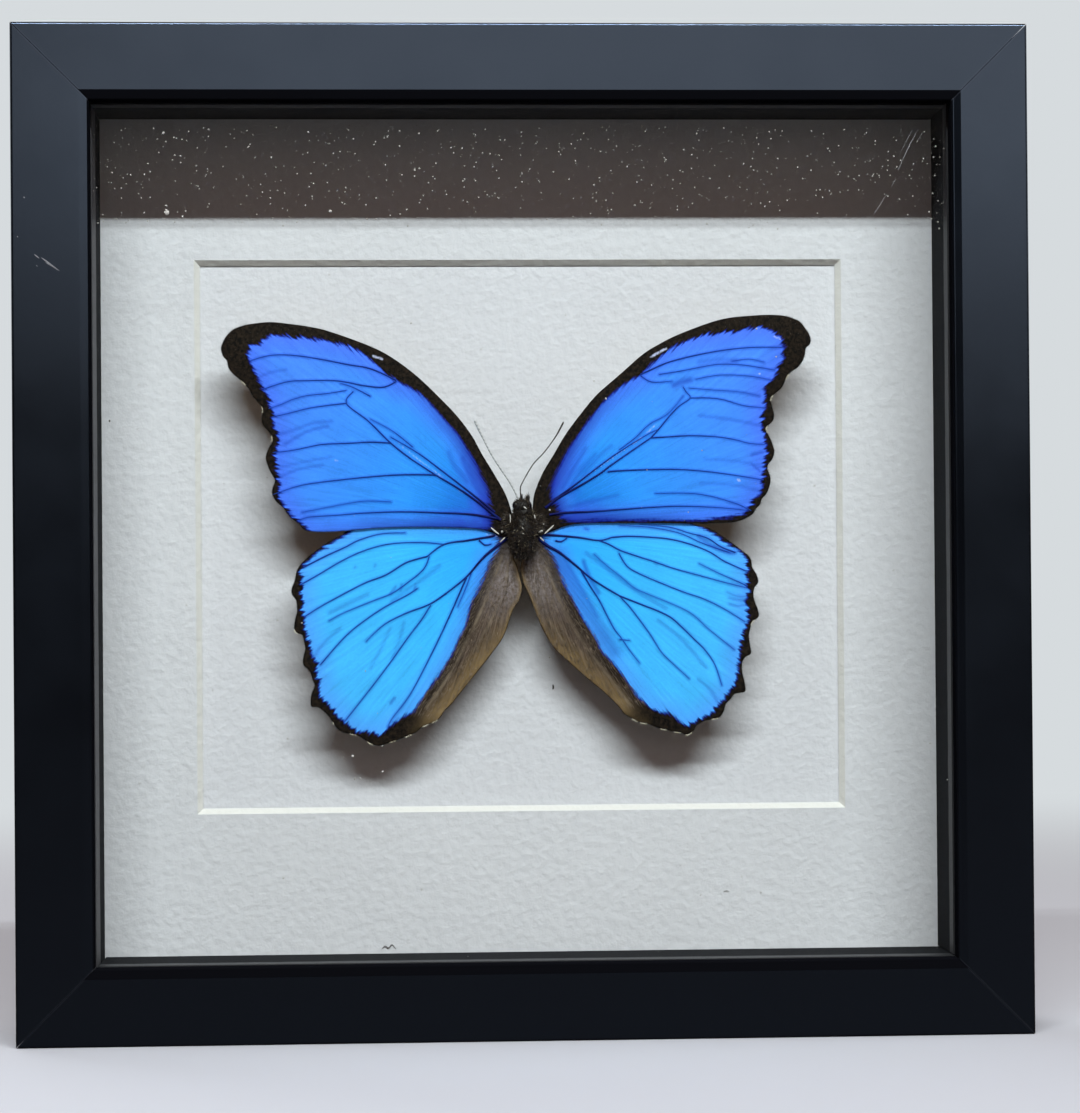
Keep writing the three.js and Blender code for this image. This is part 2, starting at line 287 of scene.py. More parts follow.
# The sheen fades towards the foot between these heights
DULL_FROM = 20.0
DULL_TO = 115.0
DULL_SHARE = 0.5


def per_metre(feature_mm):
    """The Noise or Voronoi scale that draws features of about that size."""
    return 1.0 / (feature_mm * MM)


def satin_lacquer(name, along, matt_to):
    """Satin black lacquer over MDF: soft cool sheen, fine orange peel, faint lengthwise drag,
    matt on the inner edge and duller towards the foot."""
    material, tree, shader, place = new_material(name)
    stretch = [1.0, 1.0, 1.0]
    stretch["XYZ".index(along)] = DRAG_STRETCH
    drawn = add(tree, "ShaderNodeMapping", {"Vector": place, "Scale": stretch})
    drag = add(tree, "ShaderNodeTexNoise", {
        "Vector": drawn, "Scale": per_metre(DRAG_GRAIN), "Detail": 4.0, "Roughness": 0.6,
    })
    peel = add(tree, "ShaderNodeTexNoise", {
        "Vector": place, "Scale": per_metre(ORANGE_PEEL), "Detail": 2.0,
    })
    smudge = add(tree, "ShaderNodeTexNoise", {
        "Vector": place, "Scale": per_metre(SMUDGES), "Detail": 3.0, "Roughness": 0.55,
    })
    # Distance from the mitre plane, where |x| equals |z - half|
    parts = add(tree, "ShaderNodeSeparateXYZ", {"Vector": place})
    across = add(tree, "ShaderNodeMath", {0: parts.outputs["X"]}, operation="ABSOLUTE")
    lifted = add(tree, "ShaderNodeMath", {
        0: parts.outputs["Z"], 1: FRAME_HALF * MM,
    }, operation="SUBTRACT")
    upward = add(tree, "ShaderNodeMath", {0: lifted}, operation="ABSOLUTE")
    apart = add(tree, "ShaderNodeMath", {0: across, 1: upward}, operation="SUBTRACT")
    mitre = add(tree, "ShaderNodeMath", {0: apart}, operation="ABSOLUTE")
    near = add(tree, "ShaderNodeMapRange", {
        "Value": mitre, "From Min": 0.1 * MM, "From Max": MITRE_WEAR_AND_HIGHLIGHT * MM,
        "To Min": 1.0, "To Max": 0.0,
    })
    # Thin lacquer on the worn arris plus a painted highlight: the mitre's edges are lightened grey
    worn_and_highlit = add(tree, "ShaderNodeMath", {0: near, 1: drag}, operation="MULTIPLY")
    tone = add(tree, "ShaderNodeMix", {
        "Factor": worn_and_highlit, 6: linear(LACQUER), 7: linear(LACQUER_WORN_HIGHLIGHT),
    }, data_type="RGBA")
    rough = add(tree, "ShaderNodeMapRange", {
        "Value": smudge, "From Min": 0.3, "From Max": 0.7, "To Min": GLOSS[0], "To Max": GLOSS[1],
    })
    joint = add(tree, "ShaderNodeMath", {0: mitre, 1: HAIRLINE * MM}, operation="LESS_THAN")
    dulled = add(tree, "ShaderNodeMath", {0: joint, 1: 0.6, 2: rough}, operation="MULTIPLY_ADD")
    surface = add(tree, "ShaderNodeMath", {0: drag, 1: 0.6, 2: peel}, operation="MULTIPLY_ADD")
    bump = add(tree, "ShaderNodeBump", {"Height": surface, "Strength": 0.25, "Distance": 0.02 * MM})
    feed(
        tree, shader, Base_Color=tone, Roughness=dulled, IOR=1.5,
        Specular_IOR_Level=0.9, Specular_Tint=linear("BDD9FF"), Normal=bump,
    )
    inward = add(tree, "ShaderNodeMath", {0: across, 1: upward}, operation="MAXIMUM")
    slope = add(tree, "ShaderNodeMath", {0: inward, 1: matt_to * MM}, operation="LESS_THAN")
    foot = add(tree, "ShaderNodeMapRange", {
        "Value": parts.outputs["Z"], "From Min": DULL_FROM * MM, "From Max": DULL_TO * MM,
        "To Min": DULL_SHARE, "To Max": 0.0,
    })
    matt_share = add(tree, "ShaderNodeMath", {0: slope, 1: foot}, operation="MAXIMUM")
    matt = add(tree, "ShaderNodeBsdfDiffuse", {"Color": linear(MATT_BLACK), "Roughness": 0.5})
    both = add(tree, "ShaderNodeMixShader", {0: matt_share, 1: shader, 2: matt})
    show(tree, both)
    return material


def finish_node(name, material):
    """Puts a material on every slot of a CAD node."""
    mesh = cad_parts[name].data
    mesh.materials.clear()
    mesh.materials.append(material)


lacquer_level = satin_lacquer("satin_lacquer_level", "X", SLOPE_TOP)
lacquer_upright = satin_lacquer("satin_lacquer_upright", "Z", EDGE_TOP)
for side, material in (
    ("top", lacquer_level), ("bottom", lacquer_level),
    ("left", lacquer_upright), ("right", lacquer_upright),
):
    finish_node(f"rail_{side}", material)


# ---- Glass --------------------------------------------------------------------------------
# A pane of 2 mm picture glass, cut to the rebate and held against the lip by the spacer. Its
# thin coating keeps reflections down. Its dust, flecks and scratches come in a later section.

# Share of light that the coated face gives back when met head on
GLASS_FACE_ON = 0.003
GLASS_ROUGHNESS = (0.07, 0.13)
WIPE_MARKS = 35.0


def picture_glass():
    """Float glass, polished and coated: clear, with a thin reflection and faint wipe marks."""
    material, tree, shader, place = new_material("coated_picture_glass")
    tree.nodes.remove(shader)
    clear = add(tree, "ShaderNodeBsdfTransparent", {"Color": linear("F9FBFA")})
    haze = add(tree, "ShaderNodeTexNoise", {
        "Vector": place, "Scale": per_metre(WIPE_MARKS), "Detail": 3.0,
    })
    rough = add(tree, "ShaderNodeMapRange", {
        "Value": haze, "From Min": 0.3, "From Max": 0.7,
        "To Min": GLASS_ROUGHNESS[0], "To Max": GLASS_ROUGHNESS[1],
    })
    shine = add(tree, "ShaderNodeBsdfGlossy", {"Roughness": rough})
    # Reflection by angle, and only where a ray meets the pane from outside it
    facing = add(tree, "ShaderNodeLayerWeight", {"Blend": 0.5}).outputs["Facing"]
    steep = add(tree, "ShaderNodeMath", {0: facing, 1: 5.0}, operation="POWER")
    slant = add(tree, "ShaderNodeMath", {
        0: steep, 1: 1.0 - GLASS_FACE_ON, 2: GLASS_FACE_ON,
    }, operation="MULTIPLY_ADD")
    behind = add(tree, "ShaderNodeNewGeometry").outputs["Backfacing"]
    outer = add(tree, "ShaderNodeMath", {0: 1.0, 1: behind}, operation="SUBTRACT")
    share = add(tree, "ShaderNodeMath", {0: slant, 1: outer}, operation="MULTIPLY")
    pane = add(tree, "ShaderNodeMixShader", {0: share, 1: clear, 2: shine})
    show(tree, pane)
    return material


finish_node("glass_pane", picture_glass())


# ---- Spacer -------------------------------------------------------------------------------
# Four strips of board that hold the glass off the mat. Their face is covered with matt black
# felt paper, cut back along the glass so that a smooth grey band of board shows.
SPACER_FRONT = 8.1
FELT_BLACK = "0C0D0F"
FELT_GREY = "25262B"
FELT_FIBRE = 0.7
# The paper's cut edge wanders this far, in waves this long
CUT_WANDER = 1.6
CUT_WAVE = 6.0
# Depth and tone of the bare band; the left strip's paper was cut short, and its board is painted a
# lighter grey for the light that falls on that wall from the right
BARE_BANDS = {
    "top": (5.5, "38383B"), "right": (5.5, "38383B"), "bottom": (5.5, "38383B"),
    "left": (11.0, "4E4C50"),
}


def felted_board(name, bare_band, bare_board):
    """Black felt paper on greyboard: soft and light-eating, with a wavy cut edge."""
    material, tree, shader, place = new_material(name)
    wave = add(tree, "ShaderNodeTexNoise", {
        "Vector": place, "Scale": per_metre(CUT_WAVE), "Detail": 4.0,
    })
    parts = add(tree, "ShaderNodeSeparateXYZ", {"Vector": place})
    edge = add(tree, "ShaderNodeMath", {
        0: wave, 1: CUT_WANDER * MM,
        2: FRONT + (SPACER_FRONT + bare_band - CUT_WANDER / 2) * MM,
    }, operation="MULTIPLY_ADD")
    past = add(tree, "ShaderNodeMath", {0: parts.outputs["Y"], 1: edge}, operation="SUBTRACT")
    covered = add(tree, "ShaderNodeMapRange", {
        "Value": past, "From Min": -0.1 * MM, "From Max": 0.25 * MM,
    })
    fibre = add(tree, "ShaderNodeTexNoise", {
        "Vector": place, "Scale": per_metre(FELT_FIBRE), "Detail": 5.0, "Roughness": 0.7,
    })
    nap = add(tree, "ShaderNodeMix", {
        "Factor": fibre, 6: linear(FELT_BLACK), 7: linear(FELT_GREY),
    }, data_type="RGBA")
    tone = add(tree, "ShaderNodeMix", {
        "Factor": covered, 6: linear(bare_board), 7: nap,
    }, data_type="RGBA")
    rough = add(tree, "ShaderNodeMapRange", {"Value": covered, "To Min": 0.45, "To Max": 0.95})
    bump = add(tree, "ShaderNodeBump", {"Height": fibre, "Strength": 0.6, "Distance": 0.25 * MM})
    feed(tree, shader, Base_Color=tone, Roughness=rough, Specular_IOR_Level=0.12, Normal=bump)
    return material


for side, (bare_band, bare_board) in BARE_BANDS.items():
    finish_node(f"spacer_{side}", felted_board(f"felt_covered_{side}", bare_band, bare_board))


# ---- Window mat and mount board -----------------------------------------------------------
# Both are white cotton rag board with a cold-pressed face. The window is cut at 45 degrees,
# which bares the mat's cream core; the mount board closes the window behind it.
WINDOW_HALF = (82.5, 70.25)
CREAM_CORE = "E8E7E3"
PRESS_GRAIN = 2.0
PRESS_DEPTH = 0.38
PAPER_TOOTH = 0.45
SHADE_CLOUD = 60.0


def rag_board(name, face, has_window):
    """Cold-pressed rag board: white and matt, with the felt's shallow pebbles pressed in."""
    material, tree, shader, place = new_material(name)
    pebble = add(tree, "ShaderNodeTexNoise", {
        "Vector": place, "Scale": per_metre(PRESS_GRAIN), "Detail": 3.0, "Roughness": 0.5,
    })
    tooth = add(tree, "ShaderNodeTexNoise", {
        "Vector": place, "Scale": per_metre(PAPER_TOOTH), "Detail": 3.0, "Roughness": 0.6,
    })
    cloud = add(tree, "ShaderNodeTexNoise", {
        "Vector": place, "Scale": per_metre(SHADE_CLOUD), "Detail": 2.0,
    })
    shade = add(tree, "ShaderNodeMapRange", {
        "Value": cloud, "From Min": 0.3, "From Max": 0.7, "To Min": 0.97, "To Max": 1.02,
    })
    fine = add(tree, "ShaderNodeMapRange", {
        "Value": pebble, "From Min": 0.3, "From Max": 0.7, "To Min": 0.965, "To Max": 1.02,
    })
    both = add(tree, "ShaderNodeMath", {0: shade, 1: fine}, operation="MULTIPLY")
    tone = add(tree, "ShaderNodeMix", {
        "Factor": 1.0, 6: linear(face), 7: both,
    }, data_type="RGBA", blend_type="MULTIPLY")
    if has_window:
        # The bevel lies inside the window's front edge on both axes
        parts = add(tree, "ShaderNodeSeparateXYZ", {"Vector": place})
        wide = add(tree, "ShaderNodeMath", {0: parts.outputs["X"]}, operation="ABSOLUTE")
        beside = add(tree, "ShaderNodeMath", {
            0: wide, 1: WINDOW_HALF[0] * MM,
        }, operation="LESS_THAN")
        raised = add(tree, "ShaderNodeMath", {
            0: parts.outputs["Z"], 1: FRAME_HALF * MM,
        }, operation="SUBTRACT")
        tall = add(tree, "ShaderNodeMath", {0: raised}, operation="ABSOLUTE")
        within = add(tree, "ShaderNodeMath", {
            0: tall, 1: WINDOW_HALF[1] * MM,
        }, operation="LESS_THAN")
        bevel = add(tree, "ShaderNodeMath", {0: beside, 1: within}, operation="MULTIPLY")
        tone = add(tree, "ShaderNodeMix", {
            "Factor": bevel, 6: tone, 7: linear(CREAM_CORE),
        }, data_type="RGBA")
    relief = add(tree, "ShaderNodeMath", {0: tooth, 1: 0.10, 2: pebble}, operation="MULTIPLY_ADD")
    bump = add(tree, "ShaderNodeBump", {
        "Height": relief, "Strength": 0.9, "Distance": PRESS_DEPTH * MM,
    })
    feed(tree, shader, Base_Color=tone, Roughness=0.88, Normal=bump)
    return material


finish_node("window_mat", rag_board("cold_pressed_mat", "E2E3E8", has_window=True))
finish_node("mount_board", rag_board("cold_pressed_mount", "E3E4EA", has_window=False))


# ---- Backing panel and hardware -----------------------------------------------------------
# A sheet of brown hardboard closes the back, held by eight spring-steel tabs bent over it.
# A zinc-plated sawtooth plate is nailed to the top rail for hanging.
HARDBOARD_DARK = "4A3220"
HARDBOARD_PALE = "8A6442"
BOARD_FIBRE = 1.2
BOARD_BLOTCH = 25.0
# The press screen's wires are 1.2 mm apart, drawn twice as coarse to show
SCREEN_PITCH = 2.4
# Each steel: tone, roughness, and how fine its rolling streaks are
TAB_STEEL = ("A9ABAE", 0.35, 0.3)
ZINC = ("C4BFAE", 0.42, 0.6)
PIN_STEEL = ("B8BABC", 0.22, 0.2)
ROLLED_LENGTHWISE = (0.08, 1.0, 1.0)
DULL_BLOTCH = 4.0


def band_scale(pitch_mm):
    """The Wave scale that draws bands that far apart."""
    return per_metre(pitch_mm) * math.pi / 10


def hardboard():
    """Hardboard, rough side out: pressed brown fibre with the press screen's fine mesh."""
    material, tree, shader, place = new_material("pressed_hardboard")
    fibre = add(tree, "ShaderNodeTexNoise", {
        "Vector": place, "Scale": per_metre(BOARD_FIBRE), "Detail": 6.0, "Roughness": 0.7,
    })
    blotch = add(tree, "ShaderNodeTexNoise", {
        "Vector": place, "Scale": per_metre(BOARD_BLOTCH), "Detail": 2.0,
    })
    mixed = add(tree, "ShaderNodeMath", {0: blotch, 1: 0.5, 2: fibre}, operation="MULTIPLY_ADD")
    tone = add(tree, "ShaderNodeMapRange", {"Value": mixed, "From Min": 0.45, "From Max": 1.05})
    brown = add(tree, "ShaderNodeMix", {
        "Factor": tone, 6: linear(HARDBOARD_DARK), 7: linear(HARDBOARD_PALE),
    }, data_type="RGBA")
    wires = [
        add(tree, "ShaderNodeTexWave", {
            "Vector": place, "Scale": band_scale(SCREEN_PITCH), "Distortion": 0.4,
        }, bands_direction=direction).outputs["Fac"]
        for direction in ("X", "Z")
    ]
    screen = add(tree, "ShaderNodeMath", dict(enumerate(wires)), operation="MINIMUM")
    relief = add(tree, "ShaderNodeMath", {0: fibre, 1: 0.8, 2: screen}, operation="MULTIPLY_ADD")
    bump = add(tree, "ShaderNodeBump", {"Height": relief, "Strength": 0.5, "Distance": 0.2 * MM})
    feed(tree, shader, Base_Color=brown, Roughness=0.8, Normal=bump)
    return material


def plated_steel(name, colour, roughness, streak_mm):
    """Sheet steel: a metal sheen with rolling streaks and faint dull blotches."""
    material, tree, shader, place = new_material(name)
    drawn = add(tree, "ShaderNodeMapping", {"Vector": place, "Scale": ROLLED_LENGTHWISE})
    streak = add(tree, "ShaderNodeTexNoise", {
        "Vector": drawn, "Scale": per_metre(streak_mm), "Detail": 4.0,
    })
    dull = add(tree, "ShaderNodeTexNoise", {
        "Vector": place, "Scale": per_metre(DULL_BLOTCH), "Detail": 3.0,
    })
    rough = add(tree, "ShaderNodeMapRange", {
        "Value": dull, "From Min": 0.3, "From Max": 0.7,
        "To Min": roughness - 0.08, "To Max": roughness + 0.1,
    })
    bright = linear(colour)
    dim = (*(part * 0.8 for part in bright[:3]), 1.0)
    tone = add(tree, "ShaderNodeMix", {"Factor": streak, 6: dim, 7: bright}, data_type="RGBA")
    bump = add(tree, "ShaderNodeBump", {"Height": streak, "Strength": 0.2, "Distance": 0.02 * MM})
    feed(tree, shader, Base_Color=tone, Metallic=0.7, Roughness=rough, Normal=bump)
    return material


finish_node("backing_panel", hardboard())
tab_steel = plated_steel("rolled_spring_steel", *TAB_STEEL)
for side in ("top", "right", "bottom", "left"):
    for number in (1, 2):
        finish_node(f"tab_{side}_{number}", tab_steel)
zinc = plated_steel("zinc_plated_steel", *ZINC)
for name in ("hanger_plate", "hanger_nail_1", "hanger_nail_2"):
    finish_node(name, zinc)
finish_node("specimen_pin", plated_steel("polished_pin_steel", *PIN_STEEL))


# ---- Wings --------------------------------------------------------------------------------
# Four dry wings, each a membrane a tenth of a millimetre thick, domed a little and pleated
# by its veins. Scales colour it: blue over the disc, black-brown round it, and the folded
# inner edge of each hindwing is bare brown. Points are [x, z] in millimetres.
WING_DEPTH = {"forewing": 21.8, "hindwing": 22.5}
MEMBRANE = 0.12
DOME = {"forewing": 0.9, "hindwing": 0.8}
DOME_REACH = 9.0
VEIN_RISE = 0.10
VEIN_REACH = 0.45
CREASE_SINK = 0.08
FOLD_SLOPE = 0.28
# A hindwing's fold turns brown as the blue's outer edge gets this much further off than its
# inner edge, and the brown reaches this far into the blue
FOLD_SPAN = (-1.0, 4.0)
FOLD_UNDERLAP = 0.4
# Steps along outlines and veins where a pattern follows them, and those of the mesh itself
OUTLINE_STEP = 0.6
COURSE_STEP = 1.0
MESH_STEP = 0.45
# Rows of an even triangle mesh lie this share of a step apart
ROW_SHARE = 0.87
# How far the mesh's loose points keep from the rim and the veins, and when two points are one
RIM_GAP = 0.3
VEIN_GAP = 0.2
SAME_POINT = 1e-5
# Distance to a vein is counted up to this
NO_VEIN = 9.0
# What the mesh carries at each point, for the pattern of the scales
WING_PATTERNS = ("blue", "brown", "vein", "crease", "pale", "pleat", "rim", "reach", "turn")

# Outlines run from the root along the front edge, round the scalloped margin and back
FOREWING_LEFT = [
    (-2.75, 130.5), (-4.25, 135), (-7, 140), (-10, 145), (-12.75, 150), (-16.5, 155), (-21.25, 160),
    (-26.5, 165), (-32.5, 169.5), (-38.25, 172.5), (-47.75, 176), (-52.75, 177.25), (-57.75, 178),
    (-62.5, 178.5), (-66.25, 178.25), (-69.25, 177.75), (-72, 176.75), (-73.5, 175.5), (-74.5, 174),
    (-75.25, 172), (-74.75, 170), (-73.75, 168.75), (-73.5, 167.25), (-72.5, 165.75),
    (-70.25, 163.75), (-69.5, 163), (-68.25, 161.5), (-67.5, 160), (-66.5, 158.75),
    (-65.25, 157.25), (-65, 156), (-65.25, 154), (-64.75, 152.5), (-63.5, 151), (-62.75, 149.75),
    (-62.75, 148.25), (-63.5, 147), (-64.25, 144.5), (-63.5, 141.75), (-62.75, 140.25),
    (-62, 138.75), (-62.5, 137.25), (-62.75, 135.75), (-62.25, 134.25), (-61.25, 133), (-60, 132),
    (-59.25, 130.75), (-58.25, 129.5), (-57, 128.5), (-56, 127.75), (-55, 126.5), (-53, 125.9),
    (-48.5, 125.8), (-43.5, 126.1), (-37, 126.6), (-31, 126.8), (-23.5, 126.8), (-15.75, 126.6),
    (-10.75, 126.2), (-5.75, 124.8), (-1.5, 124.5),
]
FOREWING_LEFT_BLUE = [
    (-8.5, 131.5), (-8.5, 135), (-9.25, 137.5), (-10.5, 140), (-13, 145), (-16, 150), (-20.25, 155),
    (-25, 160), (-27.25, 161.5), (-31.25, 163.5), (-34.75, 166.25), (-39, 169.75), (-44.5, 172.75),
    (-51.5, 174.25), (-55.25, 174.75), (-57.25, 174.5), (-59.25, 175), (-63.25, 175),
    (-65.75, 173.25), (-68.25, 172), (-68.25, 168.5), (-66.75, 165.5), (-65.25, 162.25),
    (-63.5, 159), (-62.5, 155.25), (-62.75, 153.25), (-61.25, 149.75), (-61.5, 147.5), (-62, 144.5),
    (-61.5, 141.5), (-61, 137), (-61.25, 135.25), (-60.5, 133.5), (-58, 130.25), (-55.75, 128),
    (-54.25, 126.9), (-52, 125.5), (-43.5, 125.4), (-37, 126.15), (-23.5, 126.35), (-11, 125.9),
    (-8, 127),
]
FOREWING_RIGHT = [
    (2.5, 131), (3, 135), (5, 140), (8, 145), (11, 150), (14.75, 155), (19, 160), (24.75, 165),
    (30.5, 170), (34.5, 172.5), (39.5, 175), (47.5, 178), (52.5, 179.25), (57.5, 179.75),
    (62.5, 180), (66.5, 179.75), (69, 179), (70.5, 178.25), (71.75, 176.75), (72.75, 175.25),
    (73.25, 173.75), (73, 172.5), (72, 171.5), (71.75, 170), (71.25, 168.5), (70, 166.75),
    (68.5, 165.75), (67.5, 164.75), (66.75, 163.5), (65.75, 161.5), (64, 160), (63, 158.75),
    (63.25, 157), (63.75, 155), (63.5, 153.25), (62.25, 152), (61.75, 151.25), (62, 150.25),
    (62.75, 148.75), (63.5, 146.75), (63.75, 145.25), (63.25, 143.5), (62.25, 142.25), (62, 141),
    (62.5, 139.75), (62.75, 138), (62.25, 136), (61.5, 134.5), (60.5, 133.5), (60, 132), (59, 131),
    (58.25, 129.75), (56.75, 128.75), (55, 128), (53, 127.6), (49.5, 127.4), (44.5, 127.3),
    (32, 127.5), (19.5, 127.6), (13.75, 127.4), (10.5, 126.8), (7.25, 125.5), (4, 124.5),
    (1.5, 124.5),
]
FOREWING_RIGHT_BLUE = [
    (8.5, 132.25), (7.25, 134), (7.5, 137.5), (9.75, 142.5), (12.5, 147.5), (16, 152.5),
    (20, 157.5), (25.75, 162.5), (30, 165), (34.25, 169), (39.5, 172.5), (46.5, 175), (54.5, 176),
    (60, 177), (62.5, 176.25), (65, 175), (66.5, 173), (66, 171.75), (66.5, 170.25), (66, 168.5),
    (64.75, 166.75), (64.5, 165), (62, 161.5), (61.5, 157.25), (60.75, 152.25), (61.5, 149.75),
    (61.75, 145.25), (61, 139.75), (60.5, 135.5), (59, 133.75), (56.75, 130.5), (55.5, 129.5),
    (53.5, 129), (49.75, 128.5), (44.5, 128.1), (32, 128.1), (19.5, 128.2), (13, 128), (10, 128.75),
]
HINDWING_LEFT = [
    (-1.5, 126), (-10, 128), (-24, 128.8), (-37, 128.4), (-43.5, 126.4), (-45.5, 125),
    (-48.5, 123.5), (-51.5, 121.5), (-54, 119.5), (-55.75, 117.75), (-56.75, 116), (-57.25, 113.75),
    (-58, 111.75), (-58, 110.25), (-57, 108.75), (-56.75, 107.25), (-56.75, 105.75),
    (-57.25, 103.75), (-57.5, 101.75), (-57, 100.5), (-55.5, 100), (-55, 98), (-54.75, 96.5),
    (-55.25, 94.5), (-55.25, 92.5), (-54.25, 91.5), (-53.5, 90.5), (-53, 88.75), (-52.5, 87.25),
    (-53.25, 85.25), (-53.5, 83.25), (-53.25, 82), (-51.5, 81.75), (-50.25, 80.75), (-49, 79.5),
    (-48, 78), (-47, 76.5), (-45.5, 75.5), (-43.5, 75), (-41.5, 74.5), (-40, 73.5), (-38.5, 72.5),
    (-36.5, 72), (-34.5, 72.5), (-32.25, 73.25), (-29.5, 74.25), (-27.25, 75.25), (-25.75, 76.5),
    (-24, 77.25), (-22.25, 78), (-21, 79), (-20, 80.5), (-18, 82.5), (-14.75, 86.5),
    (-11.25, 90.75), (-7.5, 95.5), (-4.75, 99.5), (-2.6, 105.5), (-0.8, 108.5), (-0.1, 111.5),
    (-0.6, 114), (-1.2, 116.5), (-2.2, 119.5), (-1.2, 122),
]
HINDWING_LEFT_BLUE = [
    (-55.25, 117.5), (-55.75, 115.5), (-55.75, 112.5), (-55.5, 110), (-55.5, 107), (-54.75, 102),
    (-53.75, 97), (-52.25, 92.75), (-52.25, 90.5), (-51.5, 88.5), (-51.25, 84.5), (-49.75, 83.25),
    (-47, 80), (-44, 77), (-42, 75.75), (-37.75, 75.25), (-36.5, 74.5), (-35.25, 75.25),
    (-33.5, 76.75), (-29.5, 79.5),
]
HINDWING_LEFT_INNER = [
    (-29.5, 79.5), (-27.5, 80.75), (-26, 83), (-24.5, 85), (-21.25, 89.5), (-17.75, 95),
    (-16.25, 98.5), (-14.5, 101.75), (-13.5, 105.5), (-12.25, 108.75), (-10.75, 112), (-8, 118),
    (-6.5, 120.5), (-6, 123),
]
HINDWING_LEFT_TOP = [(-6, 123), (-7, 126), (-10, 127.5), (-37, 127.9), (-44.5, 125), (-51, 121.25)]
HINDWING_RIGHT = [
    (1.5, 126), (10, 129), (24, 129.4), (38, 128.6), (44.5, 126.75), (47.5, 126), (50.25, 124.25),
    (53.5, 122), (56, 120), (57, 119.25), (57.75, 118), (58, 116.25), (59, 114.5), (59.5, 112.5),
    (58.5, 111), (58.25, 109.5), (58.5, 107.75), (59.25, 105.75), (59.5, 103.75), (58, 102.5),
    (57.5, 101.25), (57, 99), (57.25, 96.75), (57.5, 94.5), (56, 93.5), (55.25, 92), (55.25, 89.75),
    (55.75, 87.5), (56, 85), (54.5, 84.5), (53.25, 84.25), (52.25, 83), (51, 81.75), (50.5, 80),
    (49.5, 78.5), (48.25, 78), (46.5, 77.75), (45, 77.25), (43.5, 76.25), (42.75, 75), (41.25, 74),
    (39.5, 74.5), (38, 74.75), (36, 75.25), (34, 75.75), (31.5, 76.75), (29, 77.25), (26.75, 78.5),
    (25.25, 79.5), (24, 81.25), (20.25, 85), (15.25, 89.25), (9.5, 94.5), (7.25, 97), (5.5, 100),
    (4, 103.25), (1.5, 109.75), (0, 113.25), (-0.5, 116.75), (0, 120), (1, 122.5),
]
HINDWING_RIGHT_BLUE = [
    (54.75, 120.5), (56.5, 119), (56.75, 114.5), (57, 111.5), (56.5, 107), (57, 103),
    (55.75, 100.5), (54.75, 95.5), (54, 89), (53.25, 86.5), (51.75, 84.5), (48.5, 80.75),
    (46.75, 79.25), (44.25, 77.75), (41.75, 76.5), (39.25, 77), (36.75, 79), (31.5, 81),
]
HINDWING_RIGHT_INNER = [
    (31.5, 81), (29, 83.25), (27, 86.25), (23.5, 91), (19.5, 95.5), (18.5, 98), (14, 105),
    (10.5, 112), (8, 118), (6.5, 120.75), (5, 123),
]
HINDWING_RIGHT_TOP = [(5, 123), (6, 126.5), (10, 128.4), (38, 128), (47, 125.5), (51, 122.75)]

# Each vein: its thickness at the root and at the tip, then its course
FOREWING_LEFT_VEINS = [
    (0.42, 0.26, [(-5.5, 128.5), (-11.5, 133.25), (-16.5, 136.75), (-21.5, 139.75), (-28, 144)]),
    (0.28, 0.22, [(-28, 144), (-33, 148), (-38.5, 153.5), (-44, 158), (-42.25, 161)]),
    (0.36, 0.16, [(-7, 130.5), (-13.5, 135.75), (-20.25, 141), (-26.25, 145.5), (-33, 149.5)]),
    (0.18, 0.08, [(-27.5, 147), (-32.5, 151), (-38, 154)]),
    (0.26, 0.14, [(-33, 148), (-38, 148.25), (-43.5, 148), (-50, 147.75), (-54, 147), (-58, 146.25),
                  (-62.5, 145.75)]),
    (0.28, 0.14, [(-21.5, 139.75), (-23.5, 140), (-31, 140), (-38.75, 139.5), (-50.75, 138.25),
                  (-56.5, 137.25), (-62.5, 135.25)]),
    (0.10, 0.08, [(-33, 133.25), (-38.75, 133.5), (-43.25, 133), (-55.25, 130.75)]),
    (0.36, 0.12, [(-5.75, 128.75), (-13, 130), (-22, 130.5), (-31, 130.75), (-39.5, 130.5),
                  (-46.5, 130), (-54, 129.5), (-56, 128.5)]),
    (0.20, 0.14, [(-44, 158), (-48.75, 157.5), (-53.75, 156.75), (-58.75, 155.5), (-62.5, 154.75)]),
    (0.14, 0.12, [(-44, 161.25), (-48.75, 160.5), (-53.75, 160), (-57.5, 159), (-60.5, 157.75),
                  (-63.5, 156.75)]),
    (0.26, 0.16, [(-31.5, 163.5), (-33.25, 162.5), (-35.5, 162), (-40, 162.5), (-43.5, 163.25),
                  (-47.25, 163.75), (-53.5, 163.75), (-58.75, 163.5), (-64.5, 161.75)]),
    (0.20, 0.12, [(-38, 159.75), (-40.75, 161.25), (-43.5, 162.5), (-45.5, 163)]),
    (0.28, 0.16, [(-31.5, 163.75), (-35.5, 165.75), (-39, 167), (-43.5, 167.75), (-49.75, 169),
                  (-56, 170), (-61.25, 170.25), (-64.75, 169.75), (-68, 168.75)]),
]
